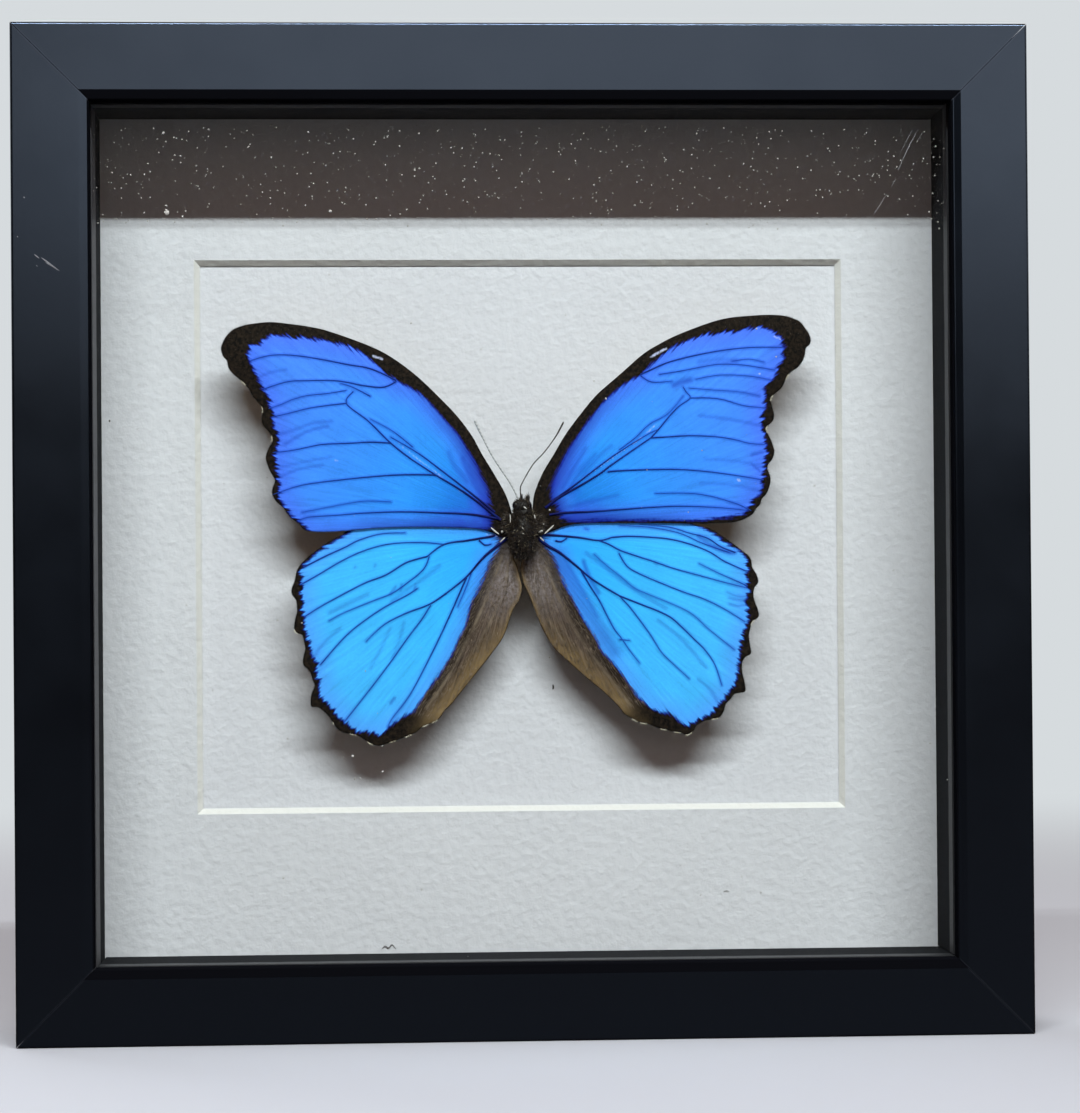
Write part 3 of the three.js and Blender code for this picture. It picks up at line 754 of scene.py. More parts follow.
FOREWING_RIGHT_VEINS = [
    (0.42, 0.26, [(5.75, 131.5), (9.5, 134.25), (14.5, 137), (19.5, 140), (22.5, 142.25),
                  (29.5, 147), (32.5, 149)]),
    (0.28, 0.18, [(32.5, 149), (34.75, 151.5), (37.25, 154.5), (39.75, 157), (42.5, 159),
                  (41.5, 160.5), (40.75, 161.75)]),
    (0.36, 0.16, [(8, 133.5), (13.25, 137.25), (19.5, 142), (24.5, 145.5), (31, 149.5), (34, 151)]),
    (0.18, 0.08, [(24.5, 146), (28.5, 149), (32.25, 152.5), (36.75, 155), (40.75, 159.5)]),
    (0.26, 0.12, [(32.5, 149), (37.25, 149.25), (42.25, 149.5), (48.5, 149.25), (53.5, 148.5),
                  (57.5, 147.5), (61.25, 147.25)]),
    (0.28, 0.14, [(21.5, 140.5), (24.5, 140.75), (32, 141), (39.5, 141), (46, 140.5), (53.5, 139.5),
                  (61, 138.25)]),
    (0.10, 0.16, [(33.5, 135), (42, 135), (47.25, 134.25), (51, 133.25), (54.75, 132),
                  (57.75, 130.5)]),
    (0.36, 0.10, [(6.75, 129.75), (10.5, 130.25), (17, 130.5), (24.5, 131), (32, 131.5),
                  (39.5, 131.75), (47.25, 131.5), (53.5, 131), (57.25, 130.5)]),
    (0.20, 0.12, [(42.5, 159), (47.25, 159), (51, 158.5), (56.25, 157), (61.5, 156.5)]),
    (0.10, 0.06, [(42.25, 161.5), (48.5, 161), (55, 160.5), (60, 159.5)]),
    (0.12, 0.10, [(44, 163.75), (50, 164.75), (57.5, 164.5), (63, 163.5)]),
    (0.20, 0.10, [(30, 164.75), (31.75, 163.5), (33.75, 163), (37.75, 163.25)]),
    (0.16, 0.14, [(34.75, 165), (39.75, 165.75), (45, 166.75), (50, 167.5), (56.25, 167.25),
                  (64, 166)]),
    (0.12, 0.08, [(53.25, 168.25), (57.5, 168.75), (61.25, 168)]),
    (0.28, 0.16, [(30, 165), (32.25, 166), (36.25, 167.75), (40.5, 169), (46.25, 170.25),
                  (52.5, 171.25), (58.75, 171.75), (66, 171.75)]),
]
HINDWING_LEFT_VEINS = [
    (0.12, 0.30, [(-29.5, 125.5), (-35.5, 125.25), (-41, 123.75), (-44.5, 122), (-49.5, 119.75),
                  (-55, 117)]),
    (0.16, 0.22, [(-19.75, 122.5), (-25.25, 123), (-33, 122.75), (-39.25, 121.25), (-45, 118.75),
                  (-51.5, 115), (-56, 112.5)]),
    (0.34, 0.26, [(-6, 125), (-7.5, 124.5), (-13.5, 123.5), (-19.75, 122.5), (-24, 119.5)]),
    (0.26, 0.18, [(-24, 119.5), (-29.25, 118), (-34.25, 115), (-39.5, 113), (-45, 110.25),
                  (-51, 107), (-55, 104.5)]),
    (0.20, 0.10, [(-23.5, 119.5), (-25, 116.25), (-29.25, 112.75), (-33, 110.25), (-37.5, 108.5),
                  (-45, 105.5), (-48.75, 103.5)]),
    (0.18, 0.22, [(-26.5, 111.5), (-29.25, 109.75), (-34.5, 107), (-39.5, 103.75), (-44.75, 99.5),
                  (-51, 92.5)]),
    (0.44, 0.30, [(-3.5, 124.25), (-9.5, 119.5), (-14.25, 114.25), (-19.25, 110.25)]),
    (0.30, 0.12, [(-19.25, 110.25), (-23.5, 107.5), (-29.5, 105.25), (-34.5, 102.75),
                  (-37.5, 100.25), (-39.5, 98.25)]),
    (0.20, 0.18, [(-23.25, 107.25), (-25.5, 103.75), (-29.5, 98.5), (-33.25, 93.25), (-37.25, 88),
                  (-43, 80.75), (-45.25, 78)]),
    (0.30, 0.12, [(-14.25, 114), (-15.5, 111.25), (-18.75, 104), (-23.25, 94.75), (-28.5, 85),
                  (-33, 79), (-34.25, 76.75)]),
    (0.16, 0.10, [(-13, 115.25), (-14.5, 111.25), (-16.5, 106.75)]),
    (0.26, 0.20, [(-11, 123.5), (-9.5, 122.25), (-8, 122.5)]),
]
HINDWING_RIGHT_VEINS = [
    (0.10, 0.28, [(29.5, 127.25), (37, 126.5), (42, 125), (46.5, 123.75), (50, 121.5),
                  (53.75, 120)]),
    (0.08, 0.20, [(24.5, 127), (32, 126.5), (39.5, 125), (44.5, 122.75), (48.5, 121.25),
                  (52.25, 120)]),
    (0.34, 0.26, [(5.5, 124.75), (9.25, 124.5), (14.25, 124), (19.25, 123.25), (22.5, 124)]),
    (0.24, 0.22, [(22.5, 124), (26.5, 124.25), (32, 124), (37, 123.5), (42, 122.25), (47, 120.25),
                  (51, 117.75), (56.5, 115.25)]),
    (0.24, 0.12, [(19.25, 123.25), (21.75, 122.25), (24.5, 120.75), (28, 119.5), (33.25, 117.75),
                  (38.25, 116), (44.5, 114.25), (50.75, 112.5), (56.75, 111)]),
    (0.08, 0.20, [(44.5, 117.25), (49.5, 114.75), (53.5, 113), (56.75, 111.5)]),
    (0.20, 0.14, [(24.25, 120), (25, 118.5), (26.75, 116.25), (30.5, 114.25), (35.75, 112),
                  (40.75, 110), (45.75, 108.25), (50.75, 105.75), (56, 102.5)]),
    (0.08, 0.12, [(18, 119.75), (21, 117), (24.75, 114), (28, 111.25), (31.75, 109.5),
                  (39.5, 106.25), (43.25, 104), (47, 100.5), (53.25, 95.5)]),
    (0.44, 0.30, [(3.5, 124.25), (6.25, 122), (9.25, 120.25), (13, 117.25), (16.75, 114),
                  (20.5, 111.5), (24.25, 109.25)]),
    (0.28, 0.16, [(24.25, 109.25), (26.75, 108.25), (30.5, 106.75), (34.25, 105.25), (37.5, 103.5),
                  (40.5, 100.75), (43, 98.25), (45.75, 95.5), (48.25, 91.75), (50, 86.5)]),
    (0.20, 0.12, [(24.25, 109.25), (26.75, 106.5), (29.25, 103.25), (32.25, 99), (34.75, 95),
                  (38, 91.75), (41.75, 88.25)]),
    (0.28, 0.12, [(14.75, 115.5), (16.75, 112), (19.25, 108), (21.25, 104), (23, 100.75),
                  (24.75, 98.5), (26.75, 95.5), (29.25, 92.25)]),
    (0.20, 0.14, [(24.25, 98.25), (26.75, 98)]),
    (0.26, 0.20, [(8.25, 123.25), (9.75, 123), (11.25, 124)]),
]

# Soft creases and rubbed marks, whose darker blue is mostly painted shade in the creases, with a
# few real dark spots: reach to each side, depth of tone, course
FOREWING_LEFT_CREASES = [
    (0.5, 0.5, [(-47.75, 153.5), (-52.5, 153), (-57.5, 151.25), (-61, 150.25)]),
    (0.5, 0.6, [(-48.75, 152.25), (-53.75, 151), (-59.5, 147.75)]),
    (0.4, 0.5, [(-50, 142.5), (-56, 141.5), (-61, 139.5)]),
    (0.4, 0.4, [(-48, 144.5), (-54, 143.5), (-61, 142)]),
    (0.4, 0.5, [(-59, 166.5), (-63, 165.75), (-66, 164.5)]),
    (0.7, 0.5, [(-14, 138.5), (-17, 142), (-18.5, 145.5)]),
    (0.6, 0.6, [(-10.5, 135), (-13, 139), (-15, 144)]),
    (0.5, 0.5, [(-9.5, 133.5), (-12, 138), (-13.5, 142)]),
]
FOREWING_RIGHT_CREASES = [
    (0.5, 0.5, [(44.75, 154.5), (52.5, 153.5), (60, 152)]),
    (0.4, 0.8, [(58, 144.5), (60.75, 145.25)]),
    (0.4, 0.8, [(58, 142.25), (60, 140.5)]),
    (0.5, 0.4, [(46, 143.5), (54, 143), (61, 141.5)]),
    (0.5, 0.4, [(45, 137.5), (53, 137), (60, 135.5)]),
    (0.9, 0.9, [(38.5, 162.25), (40.25, 163), (42.5, 163.5)]),
    (0.9, 0.5, [(45, 168), (49, 168.5), (54, 168.25)]),
    (0.5, 0.5, [(12, 136.5), (15, 141), (18.5, 145)]),
    (0.5, 0.6, [(10, 136), (13, 141.5), (16, 146.5)]),
    (0.5, 0.5, [(15, 139.5), (19.5, 144.5), (22.5, 147)]),
    (0.6, 0.5, [(12, 131.75), (17, 133), (24, 134.5)]),
]
HINDWING_LEFT_CREASES = [
    (0.5, 0.5, [(-39, 110), (-43.5, 108), (-48.75, 105.5)]),
    (0.6, 0.5, [(-21, 117), (-27, 112.5), (-33, 108.5)]),
    (0.5, 0.5, [(-46, 101.5), (-50, 98), (-53, 94)]),
    (0.5, 0.4, [(-30, 103), (-31, 99), (-33, 94)]),
    (0.5, 0.4, [(-33.5, 101.5), (-36, 96), (-38.5, 91.5)]),
    (0.4, 0.5, [(-37, 117.5), (-37.3, 117)]),
    (0.4, 0.5, [(-42, 117), (-42.3, 116.75)]),
    (0.35, 0.7, [(-30.5, 112.5), (-30.8, 111)]),
    (0.35, 0.8, [(-27, 112.75), (-27.3, 111)]),
    (0.35, 0.7, [(-32, 112), (-33.5, 110)]),
    (0.4, 0.8, [(-32.5, 84), (-33.5, 82.75)]),
]
HINDWING_RIGHT_CREASES = [
    (0.9, 0.8, [(10.5, 118.5), (13, 114), (15.5, 109.5), (18.5, 104)]),
    (2.2, 0.6, [(8.8, 119.5), (13.4, 111.5), (18.0, 103.5), (23.0, 95.5)]),
    (0.6, 0.9, [(15.25, 118), (16.5, 114.5), (19, 110)]),
    (0.6, 0.5, [(16, 120), (23, 114.5), (29, 110), (36, 106)]),
    (0.5, 0.5, [(34, 103), (40, 98), (46, 91)]),
    (0.4, 0.9, [(15.75, 126.25), (16.5, 126)]),
    (0.4, 0.5, [(33.5, 117.25), (33.8, 117)]),
    (0.6, 0.8, [(44.5, 124), (49, 121), (53, 119.75)]),
    (0.35, 0.6, [(52, 108.5), (54, 108), (56.5, 107.75)]),
    (0.35, 0.6, [(52, 107), (54, 106.5), (56.5, 106.75)]),
    (0.35, 0.6, [(51.5, 110), (54, 109), (56.5, 108.75)]),
    (0.5, 0.5, [(44, 88), (47, 85.5), (49, 82)]),
]
# Rubbed places where pale membrane shows
FOREWING_LEFT_PALE = [
    (0.34, 1.0, [(-35, 169.1), (-37.25, 169.9)]),
    (0.28, 0.5, [(-15, 135.2), (-20, 139.3), (-26, 143.8), (-31, 148)]),
    (0.4, 0.6, [(-46.2, 143.7), (-46.8, 143.8)]),
]
FOREWING_RIGHT_PALE = [
    (0.34, 1.0, [(32.75, 169.5), (36.5, 171.5)]),
    (0.28, 0.55, [(15, 138.6), (22, 143.5), (29.5, 148.6), (34, 152.5)]),
    (0.4, 0.9, [(54.5, 138.3), (54.8, 138.2)]),
    (0.3, 0.8, [(60, 165), (60.2, 165)]),
    (0.4, 0.6, [(64, 174.5), (65.5, 173.75)]),
]
HINDWING_LEFT_PALE = [(0.5, 0.5, [(-6.5, 124.5), (-9, 124.9)])]
HINDWING_RIGHT_PALE = [(0.5, 0.6, [(6.5, 125.3), (9, 126.2)])]
# Pale crease lines down the folded inner edges
HINDWING_LEFT_PLEATS = [
    (0.32, 0.9, [(-5.2, 119.5), (-8.6, 110.5), (-13.0, 100.5), (-18.5, 90.0), (-24.5, 81.5)]),
    (0.25, 0.7, [(-3.6, 118.0), (-4.8, 111.0), (-9.0, 101.5), (-14.0, 94.0)]),
    (0.22, 0.6, [(-7.4, 113.0), (-12.0, 102.5), (-17.0, 95.0)]),
]
HINDWING_RIGHT_PLEATS = [
    (0.32, 0.9, [(5.0, 119.0), (9.5, 107.5), (15.0, 97.5), (21.0, 89.5), (27.0, 81.5)]),
    (0.25, 0.7, [(2.6, 117.5), (3.6, 110.5), (6.6, 103.5), (10.8, 97.0)]),
    (0.22, 0.6, [(4.0, 113.5), (8.6, 103.5), (13.5, 95.5)]),
]

SPECIMEN = {
    "forewing_left": dict(
        outline=FOREWING_LEFT, blue=[FOREWING_LEFT_BLUE], veins=FOREWING_LEFT_VEINS,
        creases=FOREWING_LEFT_CREASES, pale=FOREWING_LEFT_PALE, root=(-1, 127),
    ),
    "forewing_right": dict(
        outline=FOREWING_RIGHT, blue=[FOREWING_RIGHT_BLUE], veins=FOREWING_RIGHT_VEINS,
        creases=FOREWING_RIGHT_CREASES, pale=FOREWING_RIGHT_PALE, root=(1, 127),
    ),
    "hindwing_left": dict(
        outline=HINDWING_LEFT, blue=[HINDWING_LEFT_BLUE, HINDWING_LEFT_INNER, HINDWING_LEFT_TOP],
        veins=HINDWING_LEFT_VEINS, creases=HINDWING_LEFT_CREASES, pale=HINDWING_LEFT_PALE,
        pleats=HINDWING_LEFT_PLEATS, root=(-1.5, 125),
    ),
    "hindwing_right": dict(
        outline=HINDWING_RIGHT,
        blue=[HINDWING_RIGHT_BLUE, HINDWING_RIGHT_INNER, HINDWING_RIGHT_TOP],
        veins=HINDWING_RIGHT_VEINS, creases=HINDWING_RIGHT_CREASES, pale=HINDWING_RIGHT_PALE,
        pleats=HINDWING_RIGHT_PLEATS, root=(1.5, 125),
    ),
}


def smooth_line(points, step, closed=False):
    """A Catmull-Rom curve through the points, resampled at about that step."""
    points = np.asarray(points, float)
    count = len(points)
    spans = count if closed else count - 1
    made = []
    for i in range(spans):
        if closed:
            a, b, c, d = (points[(i + k) % count] for k in (-1, 0, 1, 2))
        else:
            a, b, c, d = (points[min(max(i + k, 0), count - 1)] for k in (-1, 0, 1, 2))
        pieces = max(1, int(round(np.linalg.norm(c - b) / step)))
        for t in np.arange(pieces) / pieces:
            made.append(0.5 * (
                2 * b + (c - a) * t + (2 * a - 5 * b + 4 * c - d) * t ** 2
                + (3 * b - a - 3 * c + d) * t ** 3
            ))
    if not closed:
        made.append(points[-1])
    return np.array(made)


def distance_to(points, line):
    """Each point's distance to a polyline."""
    best = np.full(len(points), 1e9)
    for a, b in zip(line[:-1], line[1:]):
        along = b - a
        share = np.clip(((points - a) @ along) / max(along @ along, 1e-9), 0, 1)
        gap = points - a - share[:, None] * along
        best = np.minimum(best, np.hypot(gap[:, 0], gap[:, 1]))
    return best


def inside(points, loop):
    """Whether each point lies inside a closed loop."""
    odd = np.zeros(len(points), bool)
    for a, b in zip(loop, np.roll(loop, -1, axis=0)):
        crosses = (a[1] > points[:, 1]) != (b[1] > points[:, 1])
        reach = a[0] + (points[:, 1] - a[1]) * (b[0] - a[0]) / (b[1] - a[1] + 1e-12)
        odd ^= crosses & (points[:, 0] < reach)
    return odd


def soft_step(low, high, value):
    """From 0 at low to 1 at high, easing in and out."""
    share = np.clip((value - low) / (high - low), 0, 1)
    return share * share * (3 - 2 * share)


def marks(points, strokes):
    """The strongest of the soft strokes at each point."""
    tone = np.zeros(len(points))
    for reach, depth, course in strokes:
        line = smooth_line(course, COURSE_STEP)
        tone = np.maximum(tone, depth * np.exp(-(distance_to(points, line) / reach) ** 2))
    return tone


def wing_fields(name, points):
    """What the wing is like at each point: rise towards the viewer and the scale patterns."""
    wing = SPECIMEN[name]
    kind = name.split("_")[0]
    outline = smooth_line(wing["outline"], OUTLINE_STEP, closed=True)
    rim = distance_to(points, np.vstack([outline, outline[:1]]))
    runs = [smooth_line(run, OUTLINE_STEP) for run in wing["blue"]]
    loop = np.vstack(runs)
    edge = distance_to(points, np.vstack([loop, loop[:1]]))
    blue = np.where(inside(points, loop), edge, -edge)
    brown = np.zeros(len(points))
    fold = np.zeros(len(points))
    if kind == "hindwing":
        outer = distance_to(points, runs[0])
        inner = distance_to(points, runs[1])
        brown = soft_step(*FOLD_SPAN, outer - inner) * (blue < FOLD_UNDERLAP)
        fold = np.where(blue < 0, inner, 0) * brown
    vein = np.full(len(points), NO_VEIN)
    for _, _, course in wing["veins"]:
        vein = np.minimum(vein, distance_to(points, smooth_line(course, COURSE_STEP)))
    crease = marks(points, wing["creases"])
    rise = DOME[kind] * (1 - np.exp(-rim / DOME_REACH))
    rise += VEIN_RISE * np.exp(-(vein / VEIN_REACH) ** 2) - CREASE_SINK * crease
    rise -= FOLD_SLOPE * fold
    arm = points - np.array(wing["root"])
    reach = np.hypot(arm[:, 0], arm[:, 1])
    turn = np.arctan2(arm[:, 1], np.abs(arm[:, 0]))
    return dict(
        rise=rise, blue=blue, brown=brown, vein=vein, crease=crease,
        pale=marks(points, wing["pale"]), pleat=marks(points, wing.get("pleats", [])), rim=rim,
        reach=reach, turn=turn,
    )


def in_frame(points):
    """Points of [x, depth, z] in millimetres as metres, with depth from the front plane."""
    return np.asarray(points, float) * MM + (0, FRONT, 0)


def wing_points(name, points):
    """Points of [x, z] on the wing's upper face, in metres."""
    depth = WING_DEPTH[name.split("_")[0]] - wing_fields(name, points)["rise"]
    return in_frame(np.column_stack([points[:, 0], depth, points[:, 1]]))


def keep(piece, slot, *replaced):
    """Hands a finished piece to the frame: attaches it to the root body and hides the nodes it
    stands for. The slot argument is not used.
    """
    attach(piece, "root")
    if replaced:
        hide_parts(*replaced)


def wing_piece(name, material):
    """The membrane: a fine triangle mesh with an upper face, an under face and a rim."""
    wing = SPECIMEN[name]
    kind = name.split("_")[0]
    outline = smooth_line(wing["outline"], MESH_STEP, closed=True)
    low, high = outline.min(0), outline.max(0)
    rows = np.arange(low[1], high[1], MESH_STEP * ROW_SHARE)
    grid = []
    for i, z in enumerate(rows):
        xs = np.arange(low[0] + (i % 2) * MESH_STEP / 2, high[0], MESH_STEP)
        grid.append(np.column_stack([xs, np.full(len(xs), z)]))
    grid = np.vstack(grid)
    near_rim = distance_to(grid, np.vstack([outline, outline[:1]]))
    vein_lines = [smooth_line(course, MESH_STEP) for _, _, course in wing["veins"]]
    near_vein = np.min([distance_to(grid, line) for line in vein_lines], axis=0)
    grid = grid[inside(grid, outline) & (near_rim > RIM_GAP) & (near_vein > VEIN_GAP)]
    corners = [outline] + [grid] + [line[inside(line, outline)] for line in vein_lines]
    loop = list(range(len(outline)))
    edges = []
    start = len(outline) + len(grid)
    for line in corners[2:]:
        edges += [(start + i, start + i + 1) for i in range(len(line) - 1)]
        start += len(line)
    flat, _, faces, _, _, _ = delaunay_2d_cdt(
        [Vector(p) for p in np.vstack(corners)], edges, [loop], 1, SAME_POINT,
    )
    flat = np.array([tuple(p) for p in flat])
    faces = np.array([tuple(f) for f in faces])
    fields = wing_fields(name, flat)
    top = np.column_stack([flat[:, 0], WING_DEPTH[kind] - fields["rise"], flat[:, 1]])
    under = top + np.array([0, MEMBRANE, 0])
    a, b, c = (flat[faces[:, k]] for k in range(3))
    area = (b[:, 0] - a[:, 0]) * (c[:, 1] - a[:, 1]) - (b[:, 1] - a[:, 1]) * (c[:, 0] - a[:, 0])
    faces[area < 0] = faces[area < 0][:, ::-1]
    count = len(flat)
    sides = dict.fromkeys(
        pair for f in faces for pair in ((f[0], f[1]), (f[1], f[2]), (f[2], f[0]))
    )
    rim = [(q, p, p + count, q + count) for p, q in sides if (q, p) not in sides]
    polygons = [*faces, *(faces[:, ::-1] + count), *rim]
    layers = {label: np.tile(fields[label], 2) for label in WING_PATTERNS}
    mesh = new_mesh(
        name + "_membrane", in_frame(np.vstack([top, under])),
        faces=[tuple(int(i) for i in polygon) for polygon in polygons],
        **layers, upper=np.repeat([1.0, 0.0], count),
    )
    mesh.shade_smooth()
    return new_piece(name + "_membrane", mesh, material)


BLUE_MIDDLE = {"forewing": "2496F8", "hindwing": "34B6FF"}
BLUE_OUTER = {"forewing": "4688FA", "hindwing": "48B8FF"}
BLUE_ROOT = {"forewing": "1C5ACA", "hindwing": "2AA0FA"}
# Violet tone near the black border, and how strong it is
BLUE_EDGE = {"forewing": ("4A5FF0", 0.5), "hindwing": ("5880FA", 0.42)}
# Share of navy that runs in from the border beside the body
ROOT_SHADE = {"forewing": 0.75, "hindwing": 0.25}
NAVY = "0B1E8E"
VEIN_BLUE = "123CB4"
# Darker blue for the creases: painted shade, and a few real dark spots
CREASE_SHADE_BLUE = "1B3FB4"
BARE_MEMBRANE = "CDD3F4"
BORDER = "0A0807"
BORDER_RUST = "34291F"
FOLD_DARK = "41352D"
FOLD_PALE = "7E6D61"
FOLD_TAN = "A28759"
FOLD_GREY = "9A9192"
FOLD_SHADE = "1D1713"
FOLD_CREASE = "A3937E"
UNDER_BROWN = "4E3C2C"
# Painted glow: light that the blue upper face emits, standing in for what the blue ridges send back
# over what a dye would
BLUE_PAINTED_GLOW = 0.22
# Streak noise: its scale, and how far it is stretched along the ray and round the root
STREAK_SCALE = 1.6
STREAK_STRETCH = {"reach": 0.05, "turn": 40.0}
TUFT_SIZE = 0.9
SCALE_ROWS = 0.4
CLOUD_SIZE = 9.0


def morpho_scales(kind):
    """Chitin scales: ridged blue ones that give back more light than a dye, shown by a painted
    glow, and pigmented black-brown ones. A real scale is 0.1 mm, so their rows are drawn four times
    as coarse."""
    material, tree, shader, place = new_material(f"{kind}_scales")
    made = {
        label: add(tree, "ShaderNodeAttribute", attribute_name=label).outputs["Fac"]
        for label in (*WING_PATTERNS, "upper")
    }
    # Streaks run out from the wing's root, so their noise is stretched along that ray
    ray = add(tree, "ShaderNodeCombineXYZ", {
        index: add(tree, "ShaderNodeMath", {0: made[label], 1: stretch}, operation="MULTIPLY")
        for index, (label, stretch) in enumerate(STREAK_STRETCH.items())
    })
    for label, where, scale, detail, roughness in (
        ("streak", ray, STREAK_SCALE, 4.0, 0.65),
        ("tuft", place, per_metre(TUFT_SIZE), 3.0, 0.7),
        ("rows", place, per_metre(SCALE_ROWS), 2.0, 0.5),
        ("cloud", place, per_metre(CLOUD_SIZE), 3.0, 0.5),
    ):
        made[label] = add(tree, "ShaderNodeTexNoise", {
            "Vector": where, "Scale": scale, "Detail": detail, "Roughness": roughness,
        })
    # Shares, in order. GRADE takes its first term from one range to another, 0 to 1 if none
    # is given; the others are sums. Distances and reaches are in millimetres.
    edge_tone, edge_share = BLUE_EDGE[kind]
    for label, step, *terms in (
        # How ragged the blue's edge is: most beside the root and at the tip
        ("root_wild", "GRADE", "reach", 24.0, 6.0, 1.6, 7.0),
        ("tip_wild", "GRADE", "reach", 42.0, 58.0, 1.6, 4.6),
        ("wild", "MAXIMUM", "root_wild", "tip_wild"),
        ("streaked", "SUBTRACT", "streak", 0.5),
        ("tufted", "SUBTRACT", "tuft", 0.5),
        ("torn", "MULTIPLY_ADD", "streaked", "wild", "blue"),
        ("ragged", "MULTIPLY_ADD", "tufted", 0.9, "torn"),
        ("is_blue", "GRADE", "ragged", -0.3, 0.15),
        # The disc's tones
        ("outward", "GRADE", "reach", 18.0, 66.0),
        ("near_root", "GRADE", "reach", 28.0, 9.0),
        ("root_cloud", "GRADE", "cloud", 0.38, 0.6, 0.5, 1.2),
        ("rootward", "MULTIPLY", "near_root", "root_cloud"),
        ("violet", "GRADE", "blue", 6.0, 0.5, 0.0, edge_share),
        ("streak_light", "GRADE", "streak", 0.3, 0.7, 0.87, 1.14),
        ("cloud_light", "GRADE", "cloud", 0.3, 0.7, 0.93, 1.05),
        ("row_light", "GRADE", "rows", 0.3, 0.7, 0.94, 1.06),
        ("broad_light", "MULTIPLY", "streak_light", "cloud_light"),
        ("light", "MULTIPLY", "broad_light", "row_light"),
        ("by_vein", "GRADE", "vein", 0.75, 0.15),
        ("vein_line", "MULTIPLY", "by_vein", 0.5),
        ("blue_end", "GRADE", "ragged", 0.6, 0.0),
        ("by_border", "GRADE", "blue", 3.4, 0.3),
        ("by_body", "GRADE", "reach", 50.0, 22.0),
        ("lead", "MULTIPLY", "by_border", "by_body"),
        ("lead_share", "MULTIPLY", "lead", ROOT_SHADE[kind]),
        # Painted shade in the creases darkens the blue
        ("crease_shade", "MULTIPLY", "crease", 0.75),
        # The border and the fold
        ("rust", "GRADE", "tuft", 0.4, 0.75),
        ("fold_streak", "GRADE", "streak", 0.35, 0.68),
        ("bloom_reach", "GRADE", "reach", 24.0, 14.0),
        ("bloom_tuft", "GRADE", "tuft", 0.3, 0.65),
        ("bloom", "MULTIPLY", "bloom_reach", "bloom_tuft"),
        ("bloom_share", "MULTIPLY", "bloom", 0.9),
        ("tail_reach", "GRADE", "reach", 20.0, 32.0),
        ("tail_rim", "GRADE", "rim", 5.0, 0.8),
        ("tail", "MULTIPLY", "tail_reach", "tail_rim"),
        ("tail_share", "MULTIPLY", "tail", 0.7),
        ("rim_tan", "GRADE", "rim", 1.3, 0.3, 0.0, 0.6),
        ("tan", "MAXIMUM", "tail_share", "rim_tan"),
        ("fold_dark", "GRADE", "ragged", -3.6, -1.4),
        ("dark_streak", "GRADE", "streak", 0.2, 0.6, 0.95, 0.65),
        ("shade", "MULTIPLY", "fold_dark", "dark_streak"),
        ("pleat_cloud", "GRADE", "cloud", 0.38, 0.62, 0.05, 0.85),
        ("ridge", "MULTIPLY", "pleat", "pleat_cloud"),
        ("fold_rim", "GRADE", "rim", 0.22, 0.05),
        # The whole wing
        ("pale_tuft", "GRADE", "tuft", 0.32, 0.6, 0.45, 1.1),
        ("rubbed", "MULTIPLY", "pale", "pale_tuft"),
        ("bare", "GRADE", "rubbed", 0.25, 0.85),
        # Where the painted glow shows: the blue on the upper face
        ("painted_glow_share", "MULTIPLY", "is_blue", "upper"),
        ("roughness", "GRADE", "is_blue", 0.0, 1.0, 0.75, 0.5),
        ("relief", "MULTIPLY_ADD", "rows", 0.5, "streak"),
    ):
        inputs = {index: made.get(term, term) for index, term in enumerate(terms)}
        if step == "GRADE":
            made[label] = add(tree, "ShaderNodeMapRange", inputs)
        else:
            made[label] = add(tree, "ShaderNodeMath", inputs, operation=step)
    # Coats of colour, in order: what is made, the share of the last tone, the two tones
    for label, share, under, over, blend in (
        ("disc", "outward", BLUE_MIDDLE[kind], BLUE_OUTER[kind], "MIX"),
        ("disc", "rootward", "disc", BLUE_ROOT[kind], "MIX"),
        ("disc", "violet", "disc", edge_tone, "MIX"),
        ("disc", 1.0, "disc", "light", "MULTIPLY"),
        ("disc", "vein_line", "disc", VEIN_BLUE, "MIX"),
        ("disc", "blue_end", "disc", NAVY, "MIX"),
        ("disc", "lead_share", "disc", NAVY, "MIX"),
        ("disc", "crease_shade", "disc", CREASE_SHADE_BLUE, "MIX"),
        ("border", "rust", BORDER, BORDER_RUST, "MIX"),
        ("fold", "fold_streak", FOLD_DARK, FOLD_PALE, "MIX"),
        # Greyish bloom beside the body, tan towards the tail, dark along the blue
        ("fold", "bloom_share", "fold", FOLD_GREY, "MIX"),
        ("fold", "tan", "fold", FOLD_TAN, "MIX"),
        ("fold", "shade", "fold", FOLD_SHADE, "MIX"),
        ("fold", "ridge", "fold", FOLD_CREASE, "MIX"),
        ("fold", "fold_rim", "fold", FOLD_SHADE, "MIX"),
        ("dark", "brown", "border", "fold", "MIX"),
        ("whole", "is_blue", "dark", "disc", "MIX"),
        ("whole", "bare", "whole", BARE_MEMBRANE, "MIX"),
        ("under", "streak", UNDER_BROWN, FOLD_TAN, "MIX"),
        ("whole", "upper", "under", "whole", "MIX"),
        ("painted_glow", "painted_glow_share", "000000", "disc", "MIX"),
    ):
        first, second = (made[tone] if tone in made else linear(tone) for tone in (under, over))
        made[label] = add(tree, "ShaderNodeMix", {
            "Factor": made.get(share, share), 6: first, 7: second,
        }, data_type="RGBA", blend_type=blend)
    bump = add(tree, "ShaderNodeBump", {
        "Height": made["relief"], "Strength": 0.4, "Distance": 0.08 * MM,
    })
    feed(
        tree, shader, Base_Color=made["whole"], Roughness=made["roughness"], IOR=1.56,
        Emission_Color=made["painted_glow"], Emission_Strength=BLUE_PAINTED_GLOW, Specular_IOR_Level=0.08,
        Normal=bump,
    )
    return material


for kind in ("forewing", "hindwing"):
    scales = morpho_scales(kind)
    for side in ("left", "right"):
        keep(wing_piece(f"{kind}_{side}", scales), "blue_wing", f"{kind}_{side}")


# ---- Veins --------------------------------------------------------------------------------
# Hollow struts of dark chitin that stiffen each wing. They stand a little proud of the
# membrane, thick at the root and hair-thin at the margin, each a tube along its course.

